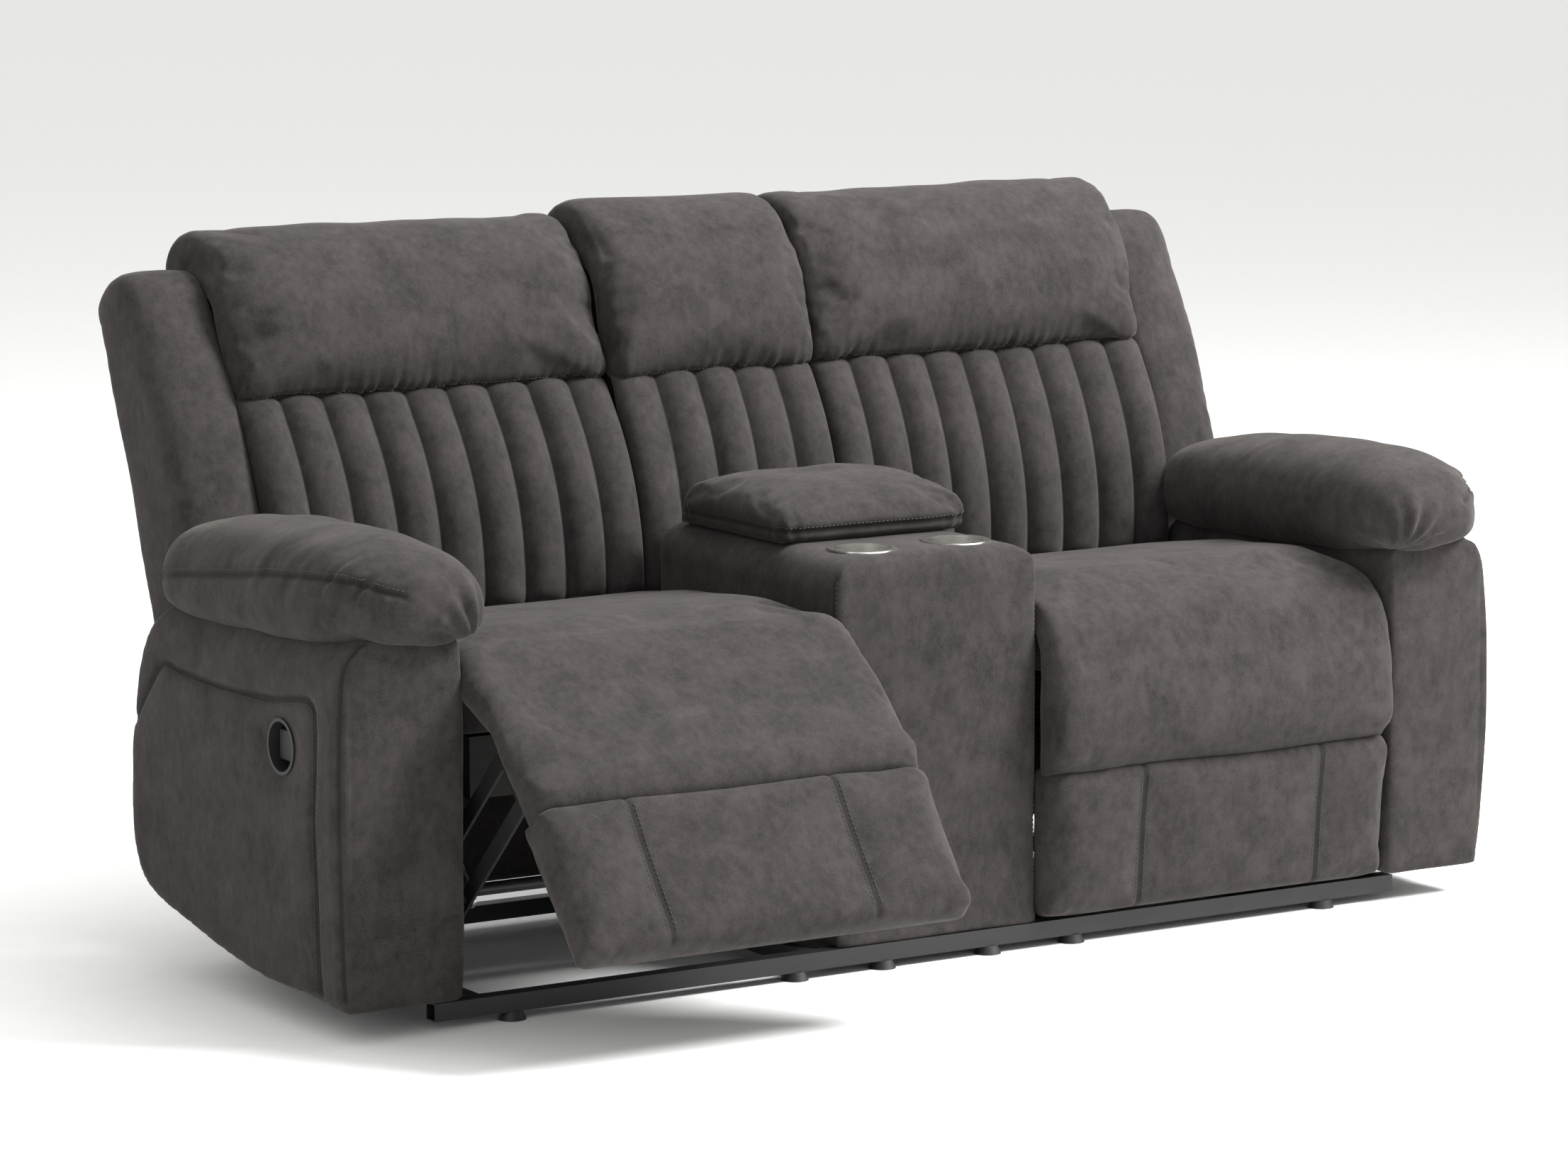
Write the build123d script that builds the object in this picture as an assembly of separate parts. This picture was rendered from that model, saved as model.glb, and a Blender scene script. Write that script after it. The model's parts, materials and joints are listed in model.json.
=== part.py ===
from build123d import *
import os
from math import acos, asin, cos, degrees, hypot, radians, sin

# Two-seat recliner sofa with a centre console. Millimetres, +Z up, front towards -Y.
# Depths (Y) are measured from the middle of the arms, heights (Z) from the floor.

# Widths across the sofa
CONSOLE_WIDTH = 344.0
BAY_WIDTH = 609.0
ARM_WIDTH = 184.0
SOFT_GAP = 3.0
SEAT_CLEARANCE = 0.3

# Boards and covers
BOARD = 15.0
COVER = 10.0
FRONT_COVER = 12.0

# Base of square steel tube
RAIL_SIDE = 25.0
RAIL_WALL = 2.0
FRONT_RAIL_Y = -413.0
REAR_RAIL_Y = 118.0
RAIL_OVERHANG = 34.0
BASE_RAIL_WIDTH = 20.0
FOOT_HEIGHT = 12.5
FOOT_RADIUS = 20.0
FOOT_TOP_RADIUS = 15.0
FOOT_PLACES = (90.0, 236.0, 690.0)

# Arms
ARM_FRONT_Y = -453.0
ARM_REAR_Y = 165.0
ARM_BOTTOM_Z = 42.0
ARM_BOTTOM_RISE = 70.0
ARM_TOP_Z = 520.0
ARM_FRONT_TOP_Z = 552.0
ARM_REAR_CUT_Y = 98.0
ARM_REAR_CUT_Z = 180.0
ARM_HEEL = 46.0
ARM_WRAP = 73.0
ARM_CORNER = 9.0
ARM_SHOULDER = 75.0
ARM_BOARD_EASE = 10.0
ARM_SEAM_Z = 445.0
SEAM_WIDTH = 2.0
ARM_TAB = 60.0

# Arm pads
PAD_INNER_OVERHANG = 27.0
PAD_OUTER_OVERHANG = 8.0
PAD_FRONT_Y = -500.0
PAD_TOP_Z = 677.0
PAD_SHOULDER = 0.72
# Sections of an arm pad: how far behind its front, lift of its underside, fall of its top, squeeze of each side
PAD_NOSE = ((0.0, 31.0, 52.0, 46.0), (29.6, 13.0, 22.4, 15.3), (59.0, 0.3, 13.0, 3.0))
PAD_BODY = ((120.0, 0.3, 6.5, 0.0), (296.0, 0.3, 0.0, 0.0), (473.6, 0.3, 17.4, 0.0), (592.0, 52.0, 52.0, 30.7))

# Pull handles in the outer arm sides
PULL_Y = -280.0
PULL_Z = 381.0
PULL_RADIUS = 39.0
PULL_FLANGE = 3.0
PULL_DEPTH = 22.0
PULL_WALL = 2.5
PULL_LIP = 5.0
PADDLE_LENGTH = 46.0
PADDLE_HEIGHT = 40.0
PADDLE_THICKNESS = 4.0
PADDLE_EYE_HEIGHT = 30.0
PADDLE_PIN_RADIUS = 2.5

# Console
CONSOLE_FRONT_Y = -419.0
CONSOLE_REAR_Y = 60.0
CONSOLE_TOP_Z = 588.0
CONSOLE_FLOOR_Z = 380.0
DECK = 15.0
CONSOLE_SHOULDER = 50.0
CONSOLE_SHOULDER_COVER = 5.0
CUP_SPACING = 158.0
CUP_Y = -343.0
CUP_BORE_RADIUS = 42.0
CUP_RIM_RADIUS = 49.0
CUP_WALL = 1.5
CUP_DEPTH = 70.0
CUP_RIM_HEIGHT = 2.5
LID_FRONT_Y = -249.0
LID_REAR_Y = 30.0
LID_WIDTH = 314.0
LID_BOARD = 12.0
LID_BOARD_INSET = 7.0
LID_HEIGHT = 73.0
LID_EDGE_DROP = 14.0
LID_EDGE_WIDTH = 22.0
LID_LIFT = 1.0
LID_PIN_Y = 38.0
LID_PIN_RADIUS = 3.0
LID_LEAF_WIDTH = 20.0
LID_LEAF = 2.0
LID_KNUCKLE_RADIUS = 6.0
LID_KNUCKLES = 4
LID_OPENING_INSET = 30.0

# Seat
SEAT_FRONT_Y = -418.0
SEAT_REAR_Y = 76.0
SEAT_BOTTOM_Z = 392.0
SEAT_CROWN_Z = 531.0
SEAT_FRONT_DROP = 24.0
SEAT_REAR_DROP = 46.0
SEAT_EDGE_DROP = 16.0
SEAT_EDGE_WIDTH = 50.0
SEAT_EDGE_STEP = 4.0
MECHANISM_GAP = 40.0
SEAT_BOX_FRONT_Y = -380.0
SEAT_BOX_REAR_Y = 92.0
SEAT_BOX_HEIGHT = 85.0
SEAT_BOARD = 20.0
WEBBING_COUNT = 5
WEBBING_WIDTH = 55.0
WEBBING = 2.5

# Footrest mechanism, closed. The fold line is the front top edge of the seat.
FOLD_Y = -440.0
FOLD_Z = 528.0
LINE_ANGLE = 45.0
FRONT_PIVOT = 214.0
REAR_PIVOT = 318.0
UPPER_REACH = 150.0
LOWER_REACH = 225.0
BRACKET_OFFSET = 55.0
STEEL = 5.0
LAYER_GAP = 1.5
LINK_RADIUS = 12.0
PIN_RADIUS = 5.0
PIN_CLEARANCE = 0.3
TUBE_RADIUS = 9.0
RUNNER_HEIGHT = 20.0
RUNNER_FRONT_Y = -225.0
RUNNER_REAR_Y = 98.0
LEG_WIDTH = 60.0
LEG_FRONT_Y = -132.0
LEG_REAR_Y = 30.0

# Footrest, measured down from the fold line and out from the seat front
FOOT_BOARD_START = 140.0
FOOT_BOARD_END = 465.0
FOOT_BOARD = 12.0
FOOT_BOARD_BACK = -30.0
FOOT_BOARD_INSET = 17.0
UPPER_PAD_START = 6.0
UPPER_PAD_END = 274.0
UPPER_PAD_CREST = 165.0
UPPER_PAD_BULGE = 39.0
UPPER_PAD_TOP_OUT = -8.0
UPPER_PAD_TUCK_OUT = 20.0
LOWER_PAD_START = 283.0
LOWER_PAD_END = 482.0
LOWER_PAD_BULGE = 23.0
LOWER_PAD_TOP_OUT = 15.0
LOWER_PAD_HEM_OUT = 8.0
PAD_EDGE_DROP = 15.0
PAD_EDGE_WIDTH = 43.0
PAD_EDGE_STEP = 3.0

# Back, measured up from the back hinge and rearwards from it, square to the lean
HINGE_Y = 150.0
HINGE_Z = 400.0
LEAN = 16.0
BACK_BAR_WIDTH = 25.0
BACK_BAR_DEPTH = 60.0
BACK_BAR_START = 40.0
BACK_TOP = 604.0
BACK_CROSS_BAR = 40.0
BACK_REAR = 101.0
BACK_SHELL = 12.0
BACK_SHELL_START = 0.0
BACK_SIDE_FRONT = -28.0
BACK_SIDE_START = 58.0
CHANNEL_START = 58.0
CHANNEL_END = 383.0
CHANNEL_FRONT = -115.0
CHANNEL_BOW = 28.0
CHANNEL_PAD = 60.0
CHANNEL_PITCH = 67.0
CHANNEL_DEPTH = 11.0
HEAD_START = 386.0
HEAD_BOTTOM_FRONT = -82.0
HEAD_BULGE_FRONT = -100.0
HEAD_BULGE_UP = 470.0
HEAD_BROW_FRONT = -60.0
HEAD_BROW_UP = 612.0
HEAD_TOP = 662.0
HEAD_REAR = 96.0
HEAD_EDGE_DROP = 14.0
HEAD_EDGE_WIDTH = 50.0
HEAD_EDGE_STEP = 3.5
WING_WIDTH = 115.0
WING_START = 195.0
WING_FRONT = -98.0
WING_MIDDLE = 385.0
WING_MIDDLE_FRONT = -78.0
WING_TOP = 598.0
WING_TOP_FRONT = -35.0
WING_REAR_TOP = 560.0
WING_REAR_START = 62.0
WING_EDGE_DROP = 16.0
WING_EDGE_WIDTH = 23.0
LOWER_PANEL_BOTTOM_Z = 60.0
LOWER_PANEL_TOP_Z = 345.0
LOWER_PANEL = 14.0

# How the photographed sofa stands: the left seat is part open, the right seat is closed
LEFT_RECLINE = 5.0
LEFT_OPENING = 41.0

# How far a seat glides forward while its back reclines all the way
SEAT_GLIDE = 80.0
FULL_RECLINE = 30.0

# Places worked out from the sizes above
LEFT_GLIDE = SEAT_GLIDE * LEFT_RECLINE / FULL_RECLINE
BAY_INNER = CONSOLE_WIDTH / 2
BAY_OUTER = BAY_INNER + BAY_WIDTH
ARM_OUTER = BAY_OUTER + ARM_WIDTH
BAY_MIDDLE = (BAY_INNER + BAY_OUTER) / 2
SOFT_X = (BAY_INNER + SOFT_GAP, BAY_OUTER - SOFT_GAP)
RAIL_TOP_Z = FOOT_HEIGHT + RAIL_SIDE
RAIL_END = BAY_OUTER + RAIL_OVERHANG
PLATE_X = (BAY_OUTER - MECHANISM_GAP, BAY_OUTER - MECHANISM_GAP + STEEL)
LINK_X = (PLATE_X[1] + LAYER_GAP, PLATE_X[1] + LAYER_GAP + STEEL)
COUPLER_X = (LINK_X[1] + LAYER_GAP, LINK_X[1] + LAYER_GAP + STEEL)
SEAT_BOX_TOP_Z = SEAT_BOTTOM_Z - WEBBING - SEAT_CLEARANCE
CONSOLE_WALL_X = BAY_INNER - COVER
DECK_BOTTOM_Z = CONSOLE_TOP_Z - DECK
LID_BOTTOM_Z = CONSOLE_TOP_Z + LID_LIFT
LID_CROWN_Z = CONSOLE_TOP_Z + LID_HEIGHT
LID_KNUCKLE_LENGTH = (LID_WIDTH - 2 * LID_OPENING_INSET) / LID_KNUCKLES
LID_PIN_Z = CONSOLE_TOP_Z + LID_KNUCKLE_RADIUS + LID_LIFT


def block(x, y, z):
    """A box between pairs of coordinates."""
    size = Box(x[1] - x[0], y[1] - y[0], z[1] - z[0], align=(Align.MIN, Align.MIN, Align.MIN))
    return Pos(x[0], y[0], z[0]) * size


def plate(points, x):
    """A flat plate with its outline in (y, z), between two x coordinates."""
    outline = Plane.YZ.offset(x[0]) * Polyline(*points, close=True)
    return extrude(make_face(outline), amount=x[1] - x[0], dir=(1, 0, 0))


def rod(point, radius, x):
    """A round bar along X through a point in (y, z)."""
    return extrude(Plane.YZ.offset(x[0]) * Pos(*point) * Circle(radius), amount=x[1] - x[0])


def stadium(start, end, radius):
    """A strip with round ends between two points, drawn flat."""
    length = hypot(end[0] - start[0], end[1] - start[1])
    turn = degrees(acos((end[0] - start[0]) / length))
    if end[1] < start[1]:
        turn = -turn
    middle = ((start[0] + end[0]) / 2, (start[1] + end[1]) / 2)
    return Pos(*middle) * Rot(0, 0, turn) * SlotCenterToCenter(length, 2 * radius)


def strap(points, x, holes=()):
    """A steel strap through points in (y, z), with pin holes."""
    outline = Sketch()
    for start, end in zip(points, points[1:]):
        outline += stadium(start, end, LINK_RADIUS)
    for hole in holes:
        outline -= Pos(*hole) * Circle(PIN_RADIUS + PIN_CLEARANCE)
    return extrude(Plane.YZ.offset(x[0]) * outline, amount=x[1] - x[0])


def both_ends(piece):
    """The same piece at the other end of the seat bay."""
    return [piece, mirror(piece, about=Plane.YZ.offset(BAY_MIDDLE))]


def turned(piece, pivot, angle):
    """Swing a piece about an X-parallel pivot: what hangs below comes forward."""
    return Pos(0, *pivot) * Rot(-angle, 0, 0) * Pos(0, -pivot[0], -pivot[1]) * piece


def swung(vector, angle):
    """The same swing for a (y, z) vector."""
    turn = radians(angle)
    return (vector[0] * cos(turn) + vector[1] * sin(turn), vector[1] * cos(turn) - vector[0] * sin(turn))


def moved(vector, by):
    return (vector[0] + by[0], vector[1] + by[1])


def leaned(piece, recline=0.0):
    """Set a back piece, drawn upright about the hinge, at its lean."""
    return Pos(0, HINGE_Y, HINGE_Z) * Rot(-LEAN - recline, 0, 0) * piece


# Base

def cross_rails():
    tubes = []
    for middle in (FRONT_RAIL_Y, REAR_RAIL_Y):
        y = (middle - RAIL_SIDE / 2, middle + RAIL_SIDE / 2)
        tube = block((-RAIL_END, RAIL_END), y, (FOOT_HEIGHT, RAIL_TOP_Z))
        inside = (y[0] + RAIL_WALL, y[1] - RAIL_WALL)
        tube -= block((-RAIL_END, RAIL_END), inside, (FOOT_HEIGHT + RAIL_WALL, RAIL_TOP_Z - RAIL_WALL))
        tubes.append(tube)
    return tubes


def base_rail_middles():
    outer = (PLATE_X[0] + PLATE_X[1]) / 2
    inner = 2 * BAY_MIDDLE - outer
    return (-outer, -inner, inner, outer)


def base_rails():
    y = (FRONT_RAIL_Y + RAIL_SIDE / 2, REAR_RAIL_Y - RAIL_SIDE / 2)
    rails = []
    for middle in base_rail_middles():
        x = (middle - BASE_RAIL_WIDTH / 2, middle + BASE_RAIL_WIDTH / 2)
        rails.append(block(x, y, (FOOT_HEIGHT, RAIL_TOP_Z)))
    return rails


def glide_feet():
    feet = []
    cone = Cone(FOOT_RADIUS, FOOT_TOP_RADIUS, FOOT_HEIGHT, align=(Align.CENTER, Align.CENTER, Align.MIN))
    for y in (FRONT_RAIL_Y, REAR_RAIL_Y):
        for place in FOOT_PLACES:
            feet.append(Pos(-place, y, 0) * cone)
            feet.append(Pos(place, y, 0) * cone)
    return feet


# Arms, drawn for the right-hand side

def arm_outline(front_y, top_z, inset=0.0):
    """Side of an arm from a given front edge to its sloped rear, in (y, z)."""
    rear = ARM_REAR_Y - inset
    cut = ARM_REAR_CUT_Y / ARM_REAR_CUT_Z
    top_rear = rear - cut * (top_z - ARM_TOP_Z + ARM_REAR_CUT_Z)
    slope = ARM_BOTTOM_RISE / (ARM_REAR_Y - ARM_HEEL - ARM_FRONT_Y)
    bottom = ARM_BOTTOM_Z + slope * (front_y - ARM_FRONT_Y)
    heel = ARM_BOTTOM_Z + ARM_BOTTOM_RISE
    return [
        (front_y, bottom),
        (rear - ARM_HEEL, heel),
        (rear, heel + ARM_HEEL),
        (rear, ARM_TOP_Z - ARM_REAR_CUT_Z),
        (top_rear, top_z),
        (front_y, top_z),
    ]


def arm_frame():
    """Inner and outer boards, the front board between them and the top board."""
    inner_x = (BAY_OUTER + COVER, BAY_OUTER + COVER + BOARD)
    outer_x = (ARM_OUTER - COVER - BOARD, ARM_OUTER - COVER)
    board_front = ARM_FRONT_Y + FRONT_COVER + BOARD
    top = ARM_TOP_Z - BOARD
    inner = plate(arm_outline(board_front, top, COVER), inner_x)
    for rail_y in (FRONT_RAIL_Y + ARM_TAB / 2, REAR_RAIL_Y):
        y = (rail_y - RAIL_SIDE / 2, rail_y - RAIL_SIDE / 2 + ARM_TAB / 2)
        inner += block(inner_x, y, (RAIL_TOP_Z, ARM_SEAM_Z / 2))
    outer = plate(arm_outline(board_front, top, COVER), outer_x)
    outer -= rod((PULL_Y, PULL_Z), PULL_RADIUS - PULL_FLANGE + SEAT_CLEARANCE, outer_x)
    front_y = (ARM_FRONT_Y + FRONT_COVER, board_front)
    front = block((inner_x[0], outer_x[1]), front_y, (ARM_BOTTOM_Z + FRONT_COVER, top))
    cap = block((inner_x[0], outer_x[1]), (front_y[0], ARM_REAR_Y - ARM_REAR_CUT_Y - COVER),
                (top, ARM_TOP_Z))
    brow = cap.edges().filter_by(Axis.Y).group_by(Axis.Z)[-1].sort_by(Axis.X)[-1]
    return [inner, outer, front, chamfer(brow, ARM_BOARD_EASE)]


def arm_cover():
    """Padded outer side in two sewn fields, the plain inner side and the rear between them."""
    outer_x = (ARM_OUTER - COVER, ARM_OUTER)
    front = ARM_FRONT_Y + ARM_WRAP + SEAM_WIDTH
    whole = plate(arm_outline(front, ARM_TOP_Z), outer_x)
    whole -= rod((PULL_Y, PULL_Z), PULL_RADIUS - PULL_FLANGE + SEAT_CLEARANCE, outer_x)
    y = (ARM_FRONT_Y, ARM_REAR_Y)
    field = whole & block(outer_x, y, (0, ARM_SEAM_Z))
    band = whole & block(outer_x, y, (ARM_SEAM_Z + SEAM_WIDTH, ARM_TOP_Z))
    inner_x = (BAY_OUTER, BAY_OUTER + COVER)
    inner = plate(arm_outline(ARM_FRONT_Y + FRONT_COVER, ARM_TOP_Z), inner_x)
    edge = arm_outline(front, ARM_TOP_Z)[2:5]
    rear = [(y - COVER, z) for y, z in reversed(edge)]
    return [field, band, inner, plate(edge + rear, (inner_x[1], outer_x[0]))]


def arm_front():
    """Front panel with a round shoulder, wrapped round the outer corner to a seam."""
    z = (ARM_BOTTOM_Z, ARM_FRONT_TOP_Z)
    face = block((BAY_OUTER, ARM_OUTER), (ARM_FRONT_Y, ARM_FRONT_Y + FRONT_COVER), z)
    wrap = block((ARM_OUTER - COVER, ARM_OUTER), (ARM_FRONT_Y, ARM_FRONT_Y + ARM_WRAP),
                 (ARM_BOTTOM_Z, ARM_FRONT_TOP_Z - ARM_SHOULDER))
    brow = face.edges().filter_by(Axis.Y).group_by(Axis.Z)[-1].sort_by(Axis.X)[-1]
    panel = fillet(brow, ARM_SHOULDER) + wrap
    corner = panel.edges().filter_by(Axis.Z).sort_by(Axis.Y)[:2]
    return fillet(corner, ARM_CORNER)


def pad_section(y, bottom, top, squeeze):
    """Cross-section of an arm pad: flat below, round sides, crowned top."""
    inner = BAY_OUTER - PAD_INNER_OVERHANG + squeeze
    outer = ARM_OUTER + PAD_OUTER_OVERHANG - squeeze
    width = outer - inner
    rise = top - bottom
    shoulder = bottom + PAD_SHOULDER * rise
    foot = width * (1 - PAD_SHOULDER) / 2
    lip = foot / 2
    section = Polyline((inner + foot, bottom), (outer - lip, bottom))
    section += ThreePointArc((outer - lip, bottom), (outer, bottom + rise / 3), (outer - foot, shoulder))
    section += ThreePointArc((outer - foot, shoulder), ((inner + outer) / 2, top), (inner + foot, shoulder))
    section += ThreePointArc((inner + foot, shoulder), (inner, bottom + rise / 2), (inner + foot, bottom))
    return make_face(Plane.XZ.offset(-y) * section)


def arm_pad():
    """Nose over the front panel, body on the top board."""
    sections = []
    for base, places in ((ARM_FRONT_TOP_Z, PAD_NOSE), (ARM_TOP_Z, PAD_BODY)):
        for behind, lift, fall, squeeze in places:
            bottom = base + SEAT_CLEARANCE + lift
            sections.append(pad_section(PAD_FRONT_Y + behind, bottom, PAD_TOP_Z - fall, squeeze))
    return [loft(sections, ruled=True)]


def pull_cup():
    x = (ARM_OUTER - PULL_DEPTH, ARM_OUTER)
    centre = (PULL_Y, PULL_Z)
    cup = rod(centre, PULL_RADIUS - PULL_FLANGE, x)
    cup += rod(centre, PULL_RADIUS, (ARM_OUTER, ARM_OUTER + PULL_FLANGE))
    hollow = PULL_RADIUS - PULL_LIP
    cup -= rod(centre, hollow, (x[0] + PULL_WALL, ARM_OUTER + PULL_FLANGE))
    pin_y = PULL_Y - PADDLE_LENGTH / 2
    pin = Pos(paddle_pin_x(), pin_y, PULL_Z) * Cylinder(PADDLE_PIN_RADIUS, 2 * PULL_RADIUS)
    inside = rod(centre, PULL_RADIUS - PULL_FLANGE, x)
    return cup + (pin & inside)


def paddle_pin_x():
    return ARM_OUTER - PULL_DEPTH / 2


def pull_paddle():
    """Flat paddle on an upright pin at the front of its cup."""
    pin_y = PULL_Y - PADDLE_LENGTH / 2
    centre_x = paddle_pin_x()
    eye = PADDLE_PIN_RADIUS + PADDLE_THICKNESS
    x = (centre_x - PADDLE_THICKNESS / 2, centre_x + PADDLE_THICKNESS / 2)
    z = (PULL_Z - PADDLE_HEIGHT / 2, PULL_Z + PADDLE_HEIGHT / 2)
    paddle = block(x, (pin_y, pin_y + PADDLE_LENGTH), z)
    paddle += Pos(centre_x, pin_y, PULL_Z) * Cylinder(eye, PADDLE_EYE_HEIGHT)
    paddle -= Pos(centre_x, pin_y, PULL_Z) * Cylinder(PADDLE_PIN_RADIUS + PIN_CLEARANCE, PADDLE_HEIGHT)
    return paddle & rod((PULL_Y, PULL_Z), PULL_RADIUS - PULL_LIP - SEAT_CLEARANCE, (x[0] - eye, x[1] + eye))


# Console

def console_hull(inset=0.0):
    """Whole console with round shoulders along both sides, or the shape a cover's thickness inside it."""
    hull = block((-BAY_INNER + inset, BAY_INNER - inset), (CONSOLE_FRONT_Y, CONSOLE_REAR_Y),
                 (RAIL_TOP_Z, CONSOLE_TOP_Z - inset))
    return fillet(hull.edges().filter_by(Axis.Y).group_by(Axis.Z)[-1], CONSOLE_SHOULDER - inset)


def console_box():
    """Open-topped case with a partition and a raised storage floor."""
    x = (-CONSOLE_WALL_X, CONSOLE_WALL_X)
    y = (CONSOLE_FRONT_Y + FRONT_COVER, CONSOLE_REAR_Y)
    case = block(x, y, (RAIL_TOP_Z, DECK_BOTTOM_Z))
    inside_x = (x[0] + BOARD, x[1] - BOARD)
    store_y = (LID_FRONT_Y + BOARD, y[1] - BOARD)
    case -= block(inside_x, store_y, (CONSOLE_FLOOR_Z, DECK_BOTTOM_Z))
    case -= block(inside_x, store_y, (RAIL_TOP_Z, CONSOLE_FLOOR_Z - BOARD))
    case -= block(inside_x, (y[0] + BOARD, LID_FRONT_Y), (RAIL_TOP_Z, DECK_BOTTOM_Z))
    return case & console_hull(CONSOLE_SHOULDER_COVER)


def cup_places():
    return ((-CUP_SPACING / 2, CUP_Y), (CUP_SPACING / 2, CUP_Y))


def console_deck():
    deck = block((-BAY_INNER, BAY_INNER), (CONSOLE_FRONT_Y, CONSOLE_REAR_Y), (DECK_BOTTOM_Z, CONSOLE_TOP_Z))
    inset = LID_WIDTH / 2 - LID_OPENING_INSET
    deck -= block((-inset, inset), (LID_FRONT_Y + LID_OPENING_INSET, LID_REAR_Y - LID_OPENING_INSET),
                  (DECK_BOTTOM_Z, CONSOLE_TOP_Z))
    middle = (DECK_BOTTOM_Z + CONSOLE_TOP_Z) / 2
    for x, y in cup_places():
        deck -= Pos(x, y, middle) * Cylinder(CUP_BORE_RADIUS + CUP_WALL + PIN_CLEARANCE, DECK)
    return deck & console_hull()


def console_cover():
    y = (CONSOLE_FRONT_Y + FRONT_COVER, CONSOLE_REAR_Y)
    z = (ARM_BOTTOM_Z, DECK_BOTTOM_Z)
    sides = [block((CONSOLE_WALL_X, BAY_INNER), y, z), block((-BAY_INNER, -CONSOLE_WALL_X), y, z)]
    front = block((-BAY_INNER, BAY_INNER), (CONSOLE_FRONT_Y, y[0]), z)
    return [piece & console_hull() for piece in sides + [front]]


def cup_holders():
    cups = []
    top = CONSOLE_TOP_Z + CUP_RIM_HEIGHT
    foot = (Align.CENTER, Align.CENTER, Align.MIN)
    for x, y in cup_places():
        cup = Pos(x, y, top - CUP_DEPTH) * Cylinder(CUP_BORE_RADIUS + CUP_WALL, CUP_DEPTH, align=foot)
        cup += Pos(x, y, CONSOLE_TOP_Z) * Cylinder(CUP_RIM_RADIUS, CUP_RIM_HEIGHT, align=foot)
        cup -= Pos(x, y, top - CUP_DEPTH + CUP_WALL) * Cylinder(CUP_BORE_RADIUS, CUP_DEPTH, align=foot)
        cups.append(cup)
    return cups


def lid_knuckles(fixed):
    """Every other knuckle of the lid hinge, as places along X."""
    start = -LID_KNUCKLES * LID_KNUCKLE_LENGTH / 2
    places = [start + LID_KNUCKLE_LENGTH * index for index in range(LID_KNUCKLES)]
    return places[0 if fixed else 1::2]


def lid_hinge():
    """Fixed leaf of the lid hinge with its pin."""
    half = LID_WIDTH / 2 - LID_OPENING_INSET
    pin = (LID_PIN_Y, LID_PIN_Z)
    back = LID_PIN_Y + LID_LEAF_WIDTH
    leaf = block((-half, half), (LID_PIN_Y + LID_KNUCKLE_RADIUS, back), (CONSOLE_TOP_Z, CONSOLE_TOP_Z + LID_LEAF))
    hinge = leaf + rod(pin, LID_PIN_RADIUS, (-half, half))
    for x in lid_knuckles(True):
        span = (x + SEAT_CLEARANCE, x + LID_KNUCKLE_LENGTH - SEAT_CLEARANCE)
        hinge += rod(pin, LID_KNUCKLE_RADIUS, span)
        hinge += block(span, (LID_PIN_Y, back), (CONSOLE_TOP_Z, CONSOLE_TOP_Z + LID_LEAF))
        hinge += block(span, (LID_PIN_Y, LID_PIN_Y + LID_KNUCKLE_RADIUS), (CONSOLE_TOP_Z, LID_PIN_Z))
    return hinge


def lid_board():
    half = LID_WIDTH / 2 - LID_BOARD_INSET
    z = (LID_BOTTOM_Z, LID_BOTTOM_Z + LID_BOARD)
    board = block((-half, half), (LID_FRONT_Y + LID_BOARD_INSET, LID_REAR_Y), z)
    pin = (LID_PIN_Y, LID_PIN_Z)
    for x in lid_knuckles(False):
        span = (x + SEAT_CLEARANCE, x + LID_KNUCKLE_LENGTH - SEAT_CLEARANCE)
        board += block(span, (LID_REAR_Y, LID_PIN_Y), (LID_PIN_Z - LID_PIN_RADIUS, LID_PIN_Z + LID_PIN_RADIUS))
        board += rod(pin, LID_KNUCKLE_RADIUS, span)
    return board - rod(pin, LID_PIN_RADIUS + PIN_CLEARANCE, (-half, half))


def crowned_section(x, front, rear, bottom, brim, crown):
    """Section of a crowned pad in (y, z): flat below, upright edges, one arc over the top."""
    middle = (front + rear) / 2
    section = Polyline((front, brim), (front, bottom), (rear, bottom), (rear, brim))
    section += ThreePointArc((rear, brim), (middle, crown), (front, brim))
    return make_face(Plane.YZ.offset(x) * section)


def lid_pad():
    half = LID_WIDTH / 2
    bottom = LID_BOTTOM_Z + LID_BOARD
    rear = LID_REAR_Y - SOFT_GAP
    soft = LID_EDGE_DROP / 2
    sections = []
    flat = half - LID_EDGE_WIDTH
    for x, drop, tuck in ((-half, LID_EDGE_DROP, soft), (-flat, soft / 2, 0), (flat, soft / 2, 0),
                          (half, LID_EDGE_DROP, soft)):
        crown = LID_CROWN_Z - drop
        brim = crown - LID_EDGE_DROP
        sections.append(crowned_section(x, LID_FRONT_Y + tuck, rear, bottom, brim, crown))
    return loft(sections, ruled=True)


# Backs, drawn upright about the hinge

def channel_pad(x):
    """Upright sewn channels that bow forward together."""
    chord = CHANNEL_END - CHANNEL_START
    radius = (chord * chord / 4 + CHANNEL_BOW * CHANNEL_BOW) / (2 * CHANNEL_BOW)
    half_angle = degrees(asin(chord / 2 / radius))
    axis_y = CHANNEL_FRONT + radius
    axis_z = (CHANNEL_START + CHANNEL_END) / 2
    count = round((x[1] - x[0]) / CHANNEL_PITCH)
    pitch = (x[1] - x[0]) / count
    back = CHANNEL_FRONT + CHANNEL_PAD
    valley = CHANNEL_FRONT + CHANNEL_DEPTH
    outline = Polyline((x[0], valley), (x[0], back), (x[1], back), (x[1], valley))
    for index in range(count):
        start = x[0] + index * pitch
        outline += ThreePointArc((start, valley), (start + pitch / 2, CHANNEL_FRONT), (start + pitch, valley))
    face = make_face(Plane.XY.offset(axis_z) * outline)
    axis = Axis((0, axis_y, axis_z), (1, 0, 0))
    face = face.rotate(axis, -half_angle)
    return revolve(face, axis, 2 * half_angle)


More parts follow.
